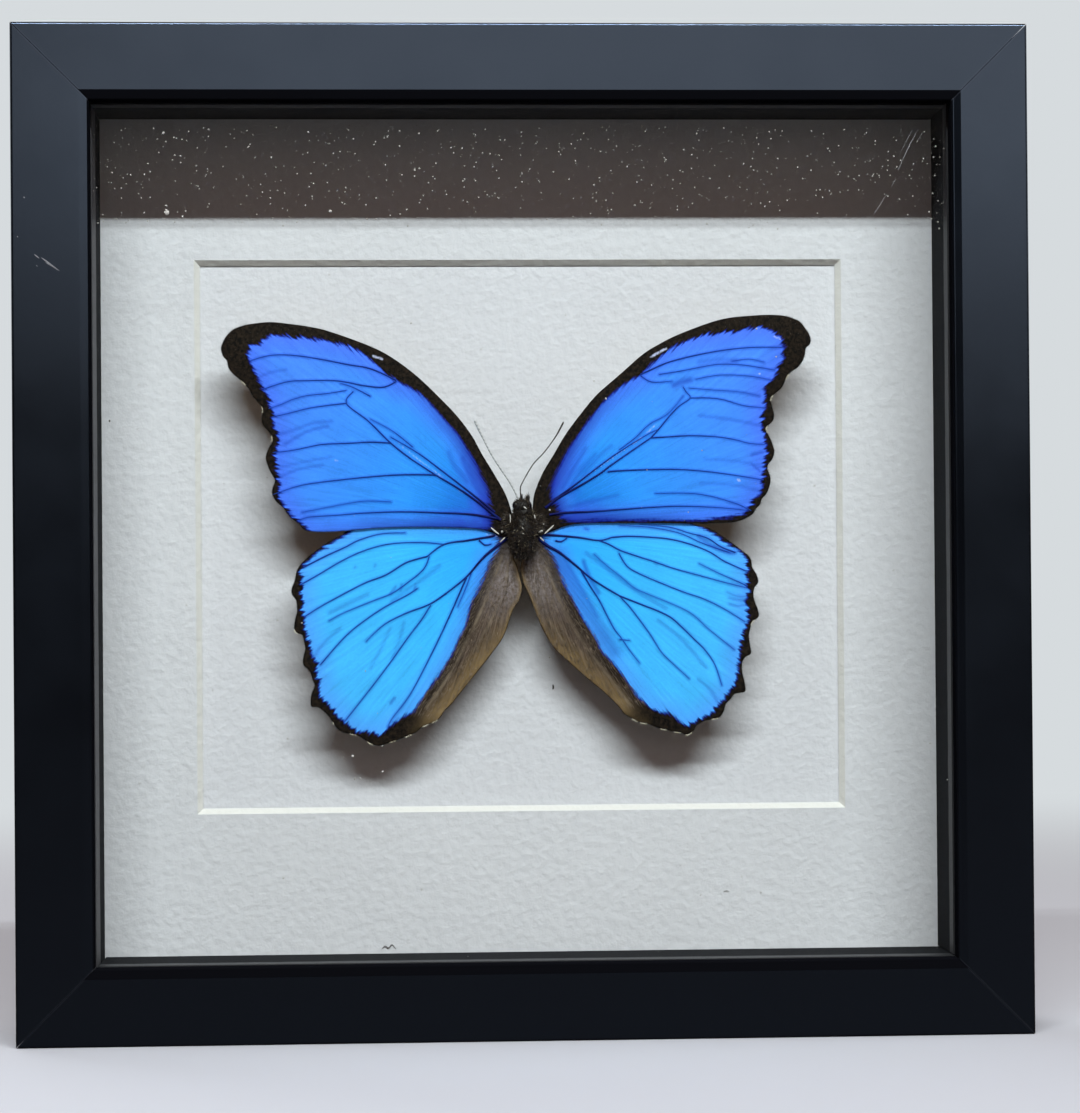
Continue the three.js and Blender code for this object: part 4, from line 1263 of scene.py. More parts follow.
# Radii in mm at which a vein shows its darkest and its bluest, with those tones
THICK_VEIN = 0.26
THIN_VEIN = 0.07
VEIN_NAVY = "050F58"
THIN_VEIN_BLUE = "1650C0"
VEIN_MOTTLE = 2.0
STRUT_STEP = 0.7
# The dark scales along a vein make it look wider than its strut, most of all by the root
ROOT_SWELL = 1.35
TIP_SWELL = 1.15
STEM_SWELL = 0.4
STEM_REACH = 13.0


def new_tree(name, **sizes):
    """An empty Geometry Nodes tree with a named input for each size."""
    tree = bpy.data.node_groups.new(name, "GeometryNodeTree")
    kinds = {float: "NodeSocketFloat", int: "NodeSocketInt"}
    tree.interface.new_socket("Geometry", in_out="INPUT", socket_type="NodeSocketGeometry")
    for label, default in sizes.items():
        socket = tree.interface.new_socket(label, in_out="INPUT", socket_type=kinds[type(default)])
        socket.default_value = default
    tree.interface.new_socket("Material", in_out="INPUT", socket_type="NodeSocketMaterial")
    tree.interface.new_socket("Geometry", in_out="OUTPUT", socket_type="NodeSocketGeometry")
    return tree, add(tree, "NodeGroupInput").outputs


def close_tree(tree, geometry, given):
    """Ends a tree: instances made real, one material, smooth shading."""
    real = add(tree, "GeometryNodeRealizeInstances", {"Geometry": geometry})
    coated = add(tree, "GeometryNodeSetMaterial", {"Geometry": real, "Material": given["Material"]})
    smooth = add(tree, "GeometryNodeSetShadeSmooth", {"Geometry": coated})
    add(tree, "NodeGroupOutput", {"Geometry": smooth})
    return tree


def grown(tree, base, name, material, **sizes):
    """Runs a tree on a base mesh and returns its result as a plain mesh object."""
    carrier = new_piece(name + "_base", base)
    modifier = carrier.modifiers.new("grow", "NODES")
    modifier.node_group = tree
    values = dict(sizes, Material=material)
    for item in tree.interface.items_tree:
        if item.in_out == "INPUT" and item.name in values:
            modifier[item.identifier] = values[item.name]
    ready = carrier.evaluated_get(bpy.context.evaluated_depsgraph_get())
    mesh = bpy.data.meshes.new_from_object(ready)
    mesh.name = name
    bpy.data.objects.remove(carrier)
    return new_piece(name, mesh)


def strut_tree():
    """A closed tube along each polyline, its radius read from each point."""
    tree, given = new_tree("strut", Sides=8)
    path = add(tree, "GeometryNodeMeshToCurve", {"Mesh": given["Geometry"]})
    width = add(tree, "GeometryNodeInputNamedAttribute", {"Name": "girth"}, data_type="FLOAT")
    ring = add(tree, "GeometryNodeCurvePrimitiveCircle", {
        "Resolution": given["Sides"], "Radius": 1.0,
    })
    tube = add(tree, "GeometryNodeCurveToMesh", {
        "Curve": path, "Profile Curve": ring, "Fill Caps": True, "Scale": width,
    })
    return close_tree(tree, tube, given)


def polylines(name, strokes):
    """A mesh of open lines with a radius at each point; a stroke is (places, radii)."""
    places, edges, radii = [], [], []
    for line, widths in strokes:
        edges += [(len(places) + i, len(places) + i + 1) for i in range(len(line) - 1)]
        places += [tuple(p) for p in line]
        radii += list(widths)
    return new_mesh(name, places, edges, girth=radii)


def vein_chitin():
    """Chitin under dark scales: dull navy, bluer where the vein thins and blue scales cross it."""
    material, tree, shader, place = new_material("vein_chitin")
    mottle = add(tree, "ShaderNodeTexNoise", {
        "Vector": place, "Scale": per_metre(VEIN_MOTTLE), "Detail": 3.0,
    })
    girth = add(tree, "ShaderNodeAttribute", attribute_name="girth").outputs["Fac"]
    thin = add(tree, "ShaderNodeMapRange", {
        "Value": girth, "From Min": THICK_VEIN * MM, "From Max": THIN_VEIN * MM,
    })
    uneven = add(tree, "ShaderNodeMath", {0: mottle, 1: 0.5, 2: thin}, operation="MULTIPLY_ADD")
    settled = add(tree, "ShaderNodeMath", {0: uneven, 1: 0.25}, operation="SUBTRACT")
    tone = add(tree, "ShaderNodeMix", {
        "Factor": settled, 6: linear(VEIN_NAVY), 7: linear(THIN_VEIN_BLUE),
    }, data_type="RGBA", clamp_factor=True)
    bump = add(tree, "ShaderNodeBump", {"Height": mottle, "Strength": 0.3, "Distance": 0.03 * MM})
    feed(
        tree, shader, Base_Color=tone, Roughness=0.6, IOR=1.56, Specular_IOR_Level=0.12,
        Normal=bump,
    )
    return material


strut = strut_tree()
chitin = vein_chitin()
for name, wing in SPECIMEN.items():
    strokes = []
    for root_width, tip_width, course in wing["veins"]:
        line = smooth_line(course, STRUT_STEP)
        stem = np.hypot(*(line - wing["root"]).T) / STEM_REACH
        radii = np.linspace(ROOT_SWELL * root_width, TIP_SWELL * tip_width, len(line)) / 2 * MM
        radii = radii * (1 + STEM_SWELL * np.exp(-stem ** 2))
        strokes.append((wing_points(name, line), radii))
    courses = polylines(name + "_courses", strokes)
    keep(grown(strut, courses, name + "_veins", chitin), "dry_cuticle")


# ---- Margin fringe ------------------------------------------------------------------------
# Each wing ends in a row of hair-like scales rooted along its margin: black over the
# scallops, cream in the notches. The bare inner fold of each hindwing carries longer down.
FRINGE_STEP = 0.2
FRINGE_LENGTH = 0.55
# A fringe scale is 0.03 mm wide, drawn three times as wide to show
FRINGE_WIDTH = 0.10
# The fringe is set this far inside the margin, and leans this much along it
FRINGE_SET = 0.15
FRINGE_LEAN = 0.25
# It grows where the margin faces this much outward or downward, off the wing's root
FACES_OUT = 0.2
FACES_DOWN = 0.35
ROOT_CLEAR = 9.0
# Each fringe: how far it stands off the margin towards the front, and its share of the width
BLACK_FRINGE = (0.02, 1.0)
CREAM_FRINGE = (0.16, 1.5)
CREAM_REACH = 0.85
CREAM_NOTCHES = {
    "forewing_left": [(-69.5, 163.5), (-65, 156.5), (-63.2, 149.2)],
    "forewing_right": [(67.1, 164.4), (63.1, 159), (61.9, 151)],
    "hindwing_left": [
        (-47.2, 78.2), (-43, 74.9), (-38.7, 72.9), (-33.1, 72.8), (-29.1, 74.2), (-24.7, 76.6),
        (-22.3, 77.9), (-57.3, 100.6),
    ],
    "hindwing_right": [
        (28.1, 77.8), (30.1, 77), (35.1, 75.6), (38.7, 74.6), (41.7, 74.1), (48.2, 78), (58, 102.3),
    ],
}
DOWN_LENGTH = 1.7
DOWN_WIDTH = 0.09
DOWN_RISE = 0.10
DOWN_COUNT = 1500
# Places tried for each hair that is kept, and how brown and far from the rim a place must be
DOWN_TRIES = 14
DOWN_BROWN = 0.6
DOWN_RIM = 0.3


def hair_tree():
    """One tapering strand on every point, along the point's aim and a little astray."""
    tree, given = new_tree("hair", Length=1.0, Width=0.1, Stray=0.2, Seed=1)
    strand = add(tree, "GeometryNodeMeshCone", {
        "Vertices": 4, "Side Segments": 2, "Radius Top": 0.04, "Radius Bottom": 0.5, "Depth": 1.0,
    })
    aim = add(tree, "GeometryNodeInputNamedAttribute", {"Name": "aim"}, data_type="FLOAT_VECTOR")
    stray = add(tree, "FunctionNodeRandomValue", {
        0: (-1.0, -1.0, -1.0), 1: (1.0, 1.0, 1.0), "Seed": given["Seed"],
    }, data_type="FLOAT_VECTOR")
    bent = add(tree, "ShaderNodeVectorMath", {0: stray, 1: given["Stray"]}, operation="MULTIPLY")
    course = add(tree, "ShaderNodeVectorMath", {0: aim, 1: bent})
    turned = add(tree, "FunctionNodeAlignRotationToVector", {"Vector": course}, axis="Z")
    reach = add(tree, "FunctionNodeRandomValue", {2: 0.55, 3: 1.15, "Seed": given["Seed"]})
    length = add(tree, "ShaderNodeMath", {0: reach, 1: given["Length"]}, operation="MULTIPLY")
    size = add(tree, "ShaderNodeCombineXYZ", {0: given["Width"], 1: given["Width"], 2: length})
    placed = add(tree, "GeometryNodeInstanceOnPoints", {
        "Points": given["Geometry"], "Instance": strand, "Rotation": turned, "Scale": size,
    })
    return close_tree(tree, placed, given)


def roots(name, places, aims):
    """A mesh of loose points, each with the direction that its hair takes."""
    mesh = new_mesh(name, places)
    layer = mesh.attributes.new("aim", "FLOAT_VECTOR", "POINT")
    layer.data.foreach_set("vector", np.asarray(aims, np.float32).ravel())
    return mesh


def insect_hair(name, dark, pale, tone_mm=1.4):
    """Dry insect hair: fine, a little glossy, its colour drifting from strand to strand."""
    material, tree, shader, place = new_material(name)
    drift = add(tree, "ShaderNodeTexNoise", {
        "Vector": place, "Scale": per_metre(tone_mm), "Detail": 4.0, "Roughness": 0.7,
    })
    spread = add(tree, "ShaderNodeMapRange", {"Value": drift, "From Min": 0.35, "From Max": 0.65})
    tone = add(tree, "ShaderNodeMix", {
        "Factor": spread, 6: linear(dark), 7: linear(pale),
    }, data_type="RGBA")
    bump = add(tree, "ShaderNodeBump", {"Height": drift, "Strength": 0.2, "Distance": 0.02 * MM})
    feed(tree, shader, Base_Color=tone, Roughness=0.5, IOR=1.55, Normal=bump)
    return material


hair = hair_tree()
black_hair = insect_hair("black_fringe_hair", "070606", "1C1614")
cream_hair = insect_hair("cream_fringe_hair", "D9CDAE", "F6F1E2")
down_hair = insect_hair("brown_fold_down", "3C322B", "8D7A66", tone_mm=2.2)
chance = np.random.default_rng(11)

for name, wing in SPECIMEN.items():
    side = -1.0 if name.endswith("left") else 1.0
    outline = smooth_line(wing["outline"], FRINGE_STEP, closed=True)
    ahead = np.roll(outline, -2, axis=0) - np.roll(outline, 2, axis=0)
    ahead /= np.linalg.norm(ahead, axis=1)[:, None]
    normal = np.column_stack([ahead[:, 1], -ahead[:, 0]])
    middle = outline.mean(0)
    if np.sum((outline - middle) * normal) < 0:
        normal = -normal
    free = (normal[:, 0] * side > FACES_OUT) | (normal[:, 1] < -FACES_DOWN)
    free &= np.hypot(*(outline - wing["root"]).T) > ROOT_CLEAR
    notch = np.min([np.hypot(*(outline - spot).T) for spot in CREAM_NOTCHES[name]], axis=0)
    brown = wing_fields(name, outline)["brown"]
    for label, chosen, cloth, (lift, wide) in (
        ("black", free & (notch >= CREAM_REACH) & (brown < 0.5), black_hair, BLACK_FRINGE),
        ("cream", free & (notch < CREAM_REACH), cream_hair, CREAM_FRINGE),
    ):
        places = wing_points(name, outline[chosen] - FRINGE_SET * normal[chosen])
        places[:, 1] -= lift * MM
        lean = normal[chosen] + FRINGE_LEAN * ahead[chosen]
        aims = np.column_stack([lean[:, 0], np.zeros(len(lean)), lean[:, 1]])
        keep(grown(
            hair, roots(f"{name}_{label}_roots", places, aims), f"{name}_{label}_fringe", cloth,
            Length=FRINGE_LENGTH * MM, Width=FRINGE_WIDTH * wide * MM, Stray=0.25, Seed=3,
        ), "dry_cuticle")
    if name.startswith("hindwing"):
        low, high = outline.min(0), outline.max(0)
        tries = chance.uniform(low, high, (DOWN_COUNT * DOWN_TRIES, 2))
        tries = tries[inside(tries, outline)]
        fields = wing_fields(name, tries)
        tries = tries[(fields["brown"] > DOWN_BROWN) & (fields["rim"] > DOWN_RIM)][:DOWN_COUNT]
        away = tries - np.array(wing["root"])
        away /= np.linalg.norm(away, axis=1)[:, None]
        aims = np.column_stack([away[:, 0], np.full(len(away), -DOWN_RISE), away[:, 1]])
        keep(grown(
            hair, roots(f"{name}_down_roots", wing_points(name, tries), aims), f"{name}_down",
            down_hair, Length=DOWN_LENGTH * MM, Width=DOWN_WIDTH * MM, Stray=0.12, Seed=5,
        ), "dry_cuticle")


# ---- Body ---------------------------------------------------------------------------------
# The dried head and thorax: cuticle plates under dense black bristles, with domed eyes and
# two hairy palps in front. Pale gold bristles and near-white strokes at the wing roots, head and
# thorax are painted glints and highlights.

# The thorax, its collar, the head, the two wing bases and the two palps. Each lobe has its
# centre [x, depth, z], its radii and how lumpy it is, in millimetres.
LOBES = [
    ((0.1, 22.0, 125.0), (3.2, 3.9, 6.3), 0.45),
    ((0.1, 21.4, 130.4), (2.3, 2.6, 1.7), 0.20),
    ((-0.2, 20.8, 131.9), (2.0, 2.2, 1.8), 0.15),
    ((-3.1, 21.2, 127.4), (1.3, 1.0, 2.3), 0.20),
    ((3.3, 21.2, 127.4), (1.3, 1.0, 2.3), 0.20),
    ((-0.4, 19.6, 133.3), (0.30, 0.4, 1.1), 0.08),
    ((1.3, 19.6, 133.3), (0.30, 0.4, 1.2), 0.08),
]
EYES = [
    ((-1.75, 20.6, 132.1), (0.85, 1.3, 1.2), 0.0),
    ((1.4, 20.6, 132.1), (0.85, 1.3, 1.2), 0.0),
]
LUMP_SIZE = 2.0
RINGS = 24
SPOKES = 32
PLATE_MOTTLE = 1.5
PIT_SIZE = 0.35
EYE_LENS = 0.2


def lobe_points(lobe, across, along):
    """Points of a lumpy ellipsoid at those angles, and its outward directions there."""
    centre, radii, lump = lobe
    out = np.stack([
        np.cos(along) * np.cos(across), np.cos(along) * np.sin(across), np.sin(along),
    ], axis=-1)
    points = np.array(centre) + out * radii
    swell = np.array([noise.noise(Vector(p) / LUMP_SIZE) for p in points.reshape(-1, 3)])
    points = points + out * (lump * swell.reshape(points.shape[:-1]))[..., None]
    normal = out / np.array(radii)
    return points, normal / np.linalg.norm(normal, axis=-1)[..., None]


def lobed_piece(name, lobes, material):
    """Closed shells, one for each lobe, each with its poles shut by fans."""
    places, faces = [], []
    for lobe in lobes:
        start = len(places)
        tilt = np.linspace(-math.pi / 2, math.pi / 2, RINGS + 1)[1:-1]
        spin = np.arange(SPOKES) / SPOKES * 2 * math.pi
        across, along = np.meshgrid(spin, tilt)
        points, _ = lobe_points(lobe, across, along)
        ends, _ = lobe_points(lobe, np.zeros(2), np.array([-math.pi / 2, math.pi / 2]))
        places += [*points.reshape(-1, 3), *ends]
        last = start + (RINGS - 2) * SPOKES
        bottom, top = last + SPOKES, last + SPOKES + 1
        for j in range(SPOKES):
            k = (j + 1) % SPOKES
            for a in range(start, last, SPOKES):
                faces.append((a + j, a + k, a + SPOKES + k, a + SPOKES + j))
            faces.append((bottom, start + k, start + j))
            faces.append((top, last + j, last + k))
    mesh = new_mesh(name, in_frame(places), faces=faces)
    mesh.shade_smooth()
    return new_piece(name, mesh, material)


def body_cuticle():
    """Sclerotised cuticle: brown-black plates with a dull gloss and fine pits."""
    material, tree, shader, place = new_material("body_cuticle")
    pits = add(tree, "ShaderNodeTexVoronoi", {"Vector": place, "Scale": per_metre(PIT_SIZE)})
    plate = add(tree, "ShaderNodeTexNoise", {
        "Vector": place, "Scale": per_metre(PLATE_MOTTLE), "Detail": 4.0,
    })
    tone = add(tree, "ShaderNodeMix", {
        "Factor": plate, 6: linear("0B0908"), 7: linear("2A211B"),
    }, data_type="RGBA")
    bump = add(tree, "ShaderNodeBump", {"Height": pits, "Strength": 0.5, "Distance": 0.06 * MM})
    feed(tree, shader, Base_Color=tone, Roughness=0.62, IOR=1.56, Normal=bump)
    return material


def compound_eye():
    """A dried compound eye: smooth dark dome of tiny lenses, drawn ten times too large."""
    material, tree, shader, place = new_material("compound_eye")
    lens = add(tree, "ShaderNodeTexVoronoi", {"Vector": place, "Scale": per_metre(EYE_LENS)})
    tone = add(tree, "ShaderNodeMix", {
        "Factor": lens, 6: linear("1D130E"), 7: linear("080605"),
    }, data_type="RGBA")
    bump = add(tree, "ShaderNodeBump", {
        "Height": lens, "Strength": 0.4, "Distance": 0.03 * MM, "Filter Width": 0.1,
    }, invert=True)
    feed(tree, shader, Base_Color=tone, Roughness=0.2, IOR=1.5, Normal=bump)
    return material


keep(lobed_piece("head_and_thorax", LOBES, body_cuticle()), "dry_cuticle", "butterfly_body")
keep(lobed_piece("compound_eyes", EYES, compound_eye()), "dry_cuticle")

# A coat: its lobe, how many hairs, their length in mm, and the way they lie [x, depth, z]
COATS = [
    (LOBES[0], 2600, 1.6, (0.0, -0.40, -0.30)),
    (LOBES[1], 420, 1.0, (0.0, -0.30, 0.10)),
    (LOBES[2], 460, 0.8, (0.0, -0.20, 0.35)),
    (LOBES[3], 420, 1.9, (-1.10, -0.10, -0.10)),
    (LOBES[4], 420, 1.9, (1.10, -0.10, -0.10)),
    (LOBES[5], 60, 1.1, (0.15, -0.10, 3.40)),
    (LOBES[6], 60, 1.2, (-0.10, -0.10, 3.40)),
]
# Hairs grow over this span of each lobe's height, not on its back, and splay this much
COAT_SPAN = (-0.96, 0.98)
COAT_BACK = 0.35
COAT_SPLAY = 0.6
body_hair = insect_hair("black_body_bristle", "060505", "4A392C", tone_mm=0.7)
# Painted glints: a share of the bristles is pale gold, for the light that the dark coat catches
glint_hair = insect_hair("glinting_body_bristle", "5A4832", "E2D5B4")
# Each kind of bristle: its share of the hairs, its width in mm, its share of their length
for label, cloth, share, wide, longer in (
    ("dark", body_hair, 1.0, 0.15, 1.0), ("glinting", glint_hair, 0.09, 0.13, 0.75),
):
    for number, (lobe, count, length, lie) in enumerate(COATS):
        count = max(3, int(count * share))
        along = np.arcsin(chance.uniform(*COAT_SPAN, count))
        points, normal = lobe_points(lobe, chance.uniform(0, 2 * math.pi, count), along)
        shown = normal[:, 1] < COAT_BACK
        places = in_frame(points)[shown]
        aims = (COAT_SPLAY * normal + np.array(lie))[shown]
        keep(grown(
            hair, roots(f"{label}_roots_{number}", places, aims), f"{label}_coat_{number}", cloth,
            Length=length * longer * MM, Width=wide * MM, Stray=0.5, Seed=20 + number,
        ), "dry_cuticle")

# Painted highlights, near-white strokes at the wing roots and on the head and thorax: radius in mm,
# course as [x, depth, z]
ROOT_HIGHLIGHTS = [
    (0.34, [(-5.5, 20.3, 125.5), (-4.9, 20.3, 125.6)]),
    (0.26, [(3.9, 20.3, 125.3), (5.0, 20.3, 125.8)]),
    (0.20, [(-8.0, 20.7, 126.6), (-6.9, 20.5, 125.6), (-6.0, 20.4, 124.9)]),
    (0.20, [(7.8, 20.7, 127.1), (6.6, 20.5, 126.0), (5.4, 20.4, 124.9)]),
    (0.18, [(-5.8, 20.6, 122.9), (-4.5, 20.4, 124.1)]),
    (0.18, [(4.3, 20.4, 124.1), (5.3, 20.6, 123.1)]),
    (0.26, [(6.6, 20.7, 130.8), (7.0, 20.7, 131.1)]),
    (0.14, [(-3.2, 19.8, 129.9), (-3.1, 19.8, 127.8)]),
    (0.14, [(2.9, 19.8, 129.8), (3.1, 19.8, 128.7)]),
    (0.16, [(0.1, 17.7, 131.7), (0.9, 17.8, 131.1)]),
    (0.13, [(-0.4, 17.6, 126.7), (0.1, 17.6, 126.0)]),
    (0.13, [(-0.3, 17.7, 125.1), (0.3, 17.7, 124.8)]),
]
HIGHLIGHT_MOTTLE = 0.5
STROKE_STEP = 0.15


def painted_root_highlight():
    """Painted highlight: near-white waxy cuticle, faintly mottled, where the roots and hairs catch
    the light.
    """
    material, tree, shader, place = new_material("painted_root_highlight")
    mottle = add(tree, "ShaderNodeTexNoise", {
        "Vector": place, "Scale": per_metre(HIGHLIGHT_MOTTLE), "Detail": 2.0,
    })
    tone = add(tree, "ShaderNodeMix", {
        "Factor": mottle, 6: linear("B9B3A6"), 7: linear("F4F2EE"),
    }, data_type="RGBA")
    feed(tree, shader, Base_Color=tone, Roughness=0.35, IOR=1.5)
    return material


def tapered(courses):
    """Strokes for a strut, thick in the middle and drawn out at both ends."""
    strokes = []
    for radius, course in courses:
        line = smooth_line(course, STROKE_STEP)
        share = np.linspace(-1, 1, len(line))
        radii = radius * MM * np.sqrt(np.clip(1.02 - share ** 2, 0.02, 1))
        strokes.append((in_frame(line), radii))
    return strokes


keep(grown(
    strut, polylines("highlight_courses", tapered(ROOT_HIGHLIGHTS)), "root_highlight_strokes", painted_root_highlight(),
), "dry_cuticle")


# ---- Antennae -----------------------------------------------------------------------------
# Two hair-thin segmented feelers that thicken to a slender club at the tip. The left one has
# lost its dark scales and dried pale grey.
ANTENNA_COURSES = {
    "left": [
        (-1.2, 19.8, 133.6), (-2.0, 19.6, 135.6), (-3.5, 19.4, 138.3), (-7.4, 19, 144.2),
        (-9.9, 18.8, 149), (-12, 18.6, 153.5),
    ],
    "right": [
        (-0.3, 19.8, 134.0), (-0.6, 19.5, 136.3), (0.1, 19.3, 138.1), (2.6, 19.1, 142.3),
        (5.4, 18.9, 145.3), (8.3, 18.7, 149.2), (10.4, 18.6, 153),
    ],
}
ANTENNA_TONES = {"left": ("A4A7A8", "CDCFCF"), "right": ("1D1815", "4A4038")}
SHAFT_RADIUS = {"left": 0.19, "right": 0.14}
# The club: its growth over the shaft, where it comes in as shares of the length, and the tip
CLUB_GROWTH = 1.5
CLUB_SPAN = (0.72, 0.93)
TIP_START = 0.985
TIP_GIRTH = 0.45
SEGMENT = 0.45
JOINT_SWELL = 0.08


def feeler(side):
    """Ringed chitin: dull, a darker joint at every second segment."""
    material, tree, shader, place = new_material(f"{side}_feeler_chitin")
    rings = add(tree, "ShaderNodeTexWave", {
        "Vector": place, "Scale": band_scale(2 * SEGMENT), "Distortion": 0.5,
    }, bands_direction="Z").outputs["Fac"]
    dark, pale = ANTENNA_TONES[side]
    tone = add(tree, "ShaderNodeMix", {
        "Factor": rings, 6: linear(dark), 7: linear(pale),
    }, data_type="RGBA")
    bump = add(tree, "ShaderNodeBump", {"Height": rings, "Strength": 0.4, "Distance": 0.03 * MM})
    feed(tree, shader, Base_Color=tone, Roughness=0.55, IOR=1.56, Normal=bump)
    return material


for side, course in ANTENNA_COURSES.items():
    line = smooth_line(course, SEGMENT / 2)
    share = np.linspace(0, 1, len(line))
    radii = SHAFT_RADIUS[side] * (1 + (CLUB_GROWTH - 1) * soft_step(*CLUB_SPAN, share))
    radii *= np.where(share > TIP_START, TIP_GIRTH, 1.0)
    radii *= 1 + JOINT_SWELL * (np.arange(len(line)) % 2)
    course_mesh = polylines(f"{side}_feeler_course", [(in_frame(line), radii * MM)])
    keep(
        grown(strut, course_mesh, f"feeler_{side}", feeler(side), Sides=10),
        "dry_cuticle", f"antenna_{side}",
    )


# ---- Dust, flecks and scratches -----------------------------------------------------------
# House dust has crept in and settled on the inside of the pane, with a few flecks of lint on
# the mat. The glass and the left rail each carry fine scratches from handling.
DUST_SIZE = 0.30
DUST_DENSITY = 330000.0
# Dust is thick above this height and thins out below it, in millimetres and as a share
DUST_LINE = (200.0, 207.0)
DUST_TOP = 226.0
DUST_BELOW = 0.012
# A crumb is DUST_LEAST to DUST_LEAST + DUST_SPREAD of the size across, and most are small
DUST_LEAST = 0.45
DUST_SPREAD = 1.2
DUST_RARITY = 3.0
DUST_THICKNESS = 0.05
DUST_PLANE = 7.95
SIGHT_HALF = 105.6
LINT_DRIFT = 2.5
# Least and most of a fleck's shape, and millimetres across for a girth of one
SPECK_SHAPES = ((0.55, 0.35, 0.55), (1.2, 0.7, 1.2))
PANE_FLECK_SIZE = 2.5
MAT_FLECK_SIZE = 1.3
# Flecks on the pane as girth, x, z and on the mat as girth, x, depth, z
FLECKS = [
    (0.36, -88.4, 224.0), (0.22, -89.8, 222.4), (0.24, -84.2, 218.3), (0.22, -92.2, 216.4),
    (0.26, -96.4, 213.6), (0.20, -93.1, 213.7), (0.30, -87.8, 206.0), (0.55, -87.7, 204.3),
    (0.48, -87.8, 204.9), (0.28, -83.8, 203.3), (0.26, -61.9, 217.9), (0.26, -53.6, 206.1),
    (0.34, -47.5, 204.6), (0.24, -52.8, 224.2), (0.34, -42.9, 70.0), (0.38, -35.6, 66.1),
    (0.28, -42.4, 64.4), (0.26, -41.0, 64.5), (0.30, 58.0, 175.2), (0.26, 20.4, 158.0),
]
MAT_FLECKS = [
    (0.40, -104.0, 32.92, 154.6), (0.30, -82.0, 34.62, 132.6),
    (0.28, -64.4, 34.62, 140.1), (0.22, 40.0, 32.92, 40.5), (0.18, -95.0, 32.92, 90.0),
]
# Lint and scratches: radius in mm, course as [x, depth, z]
LINT = [
    (0.10, [
        (-36.2, 32.9, 20.1), (-35.3, 32.7, 20.9), (-34.4, 32.7, 20.4), (-33.6, 32.8, 21.2),
        (-32.6, 32.9, 20.0),
    ]),
    (0.07, [(51.0, 32.8, 33.5), (51.6, 32.7, 33.9), (52.5, 32.8, 33.7)]),
    (0.22, [(7.9, 34.6, 86.9), (8.0, 34.5, 86.3), (7.9, 34.6, 85.6)]),
]
GLASS_SCRATCHES = [
    (0.055, [(98.6, 5.8, 224.6), (96.6, 5.8, 221.0), (94.9, 5.8, 217.5), (93.4, 5.8, 214.1)]),
    (0.045, [(90.6, 5.8, 208.6), (88.7, 5.8, 205.5), (86.9, 5.8, 202.8)]),
    (0.035, [(97.3, 5.8, 224.6), (95.9, 5.8, 222.2), (94.2, 5.8, 219.0)]),
    (0.035, [(92.9, 5.8, 212.4), (91.8, 5.8, 210.3)]),
    (0.03, [(99.7, 5.8, 224.0), (98.6, 5.8, 221.8)]),
]
RAIL_SCRATCHES = [
    (0.16, [(-119.3, 0.0, 193.2), (-118.6, 0.0, 192.6), (-118.1, 0.0, 192.2)]),
    (0.17, [(-117.6, 0.0, 192.4), (-116.0, 0.0, 191.2), (-113.8, 0.0, 189.5)]),
    (0.10, [(-116.7, 0.0, 191.3), (-114.6, 0.0, 190.0), (-113.2, 0.0, 189.2)]),
    (0.12, [(-121.9, 0.0, 207.3), (-121.5, 0.0, 206.9)]),
    (0.12, [(-123.4, 0.0, 197.7), (-123.2, 0.0, 197.3)]),
    (0.08, [(-118.9, 0.0, 190.6), (-118.5, 0.0, 190.2)]),
]


def speck_tree():
    """A flattened crumb of 20 faces on every point, turned and sized at random."""
    tree, given = new_tree("speck", Size=1.0, Seed=1)
    crumb = add(tree, "GeometryNodeMeshIcoSphere", {"Radius": 0.5, "Subdivisions": 1})
    scale = add(tree, "GeometryNodeInputNamedAttribute", {"Name": "girth"}, data_type="FLOAT")
    stretch = add(tree, "FunctionNodeRandomValue", {
        0: SPECK_SHAPES[0], 1: SPECK_SHAPES[1], "Seed": given["Seed"],
    }, data_type="FLOAT_VECTOR")
    sized = add(tree, "ShaderNodeVectorMath", {0: stretch, 1: given["Size"]}, operation="MULTIPLY")
    each = add(tree, "ShaderNodeVectorMath", {0: sized, 1: scale}, operation="MULTIPLY")
    spin = add(tree, "FunctionNodeRandomValue", {
        0: (0.0, -3.1, 0.0), 1: (0.0, 3.1, 0.0), "Seed": given["Seed"],
    }, data_type="FLOAT_VECTOR")
    placed = add(tree, "GeometryNodeInstanceOnPoints", {
        "Points": given["Geometry"], "Instance": crumb, "Rotation": spin, "Scale": each,
    })
    return close_tree(tree, placed, given)


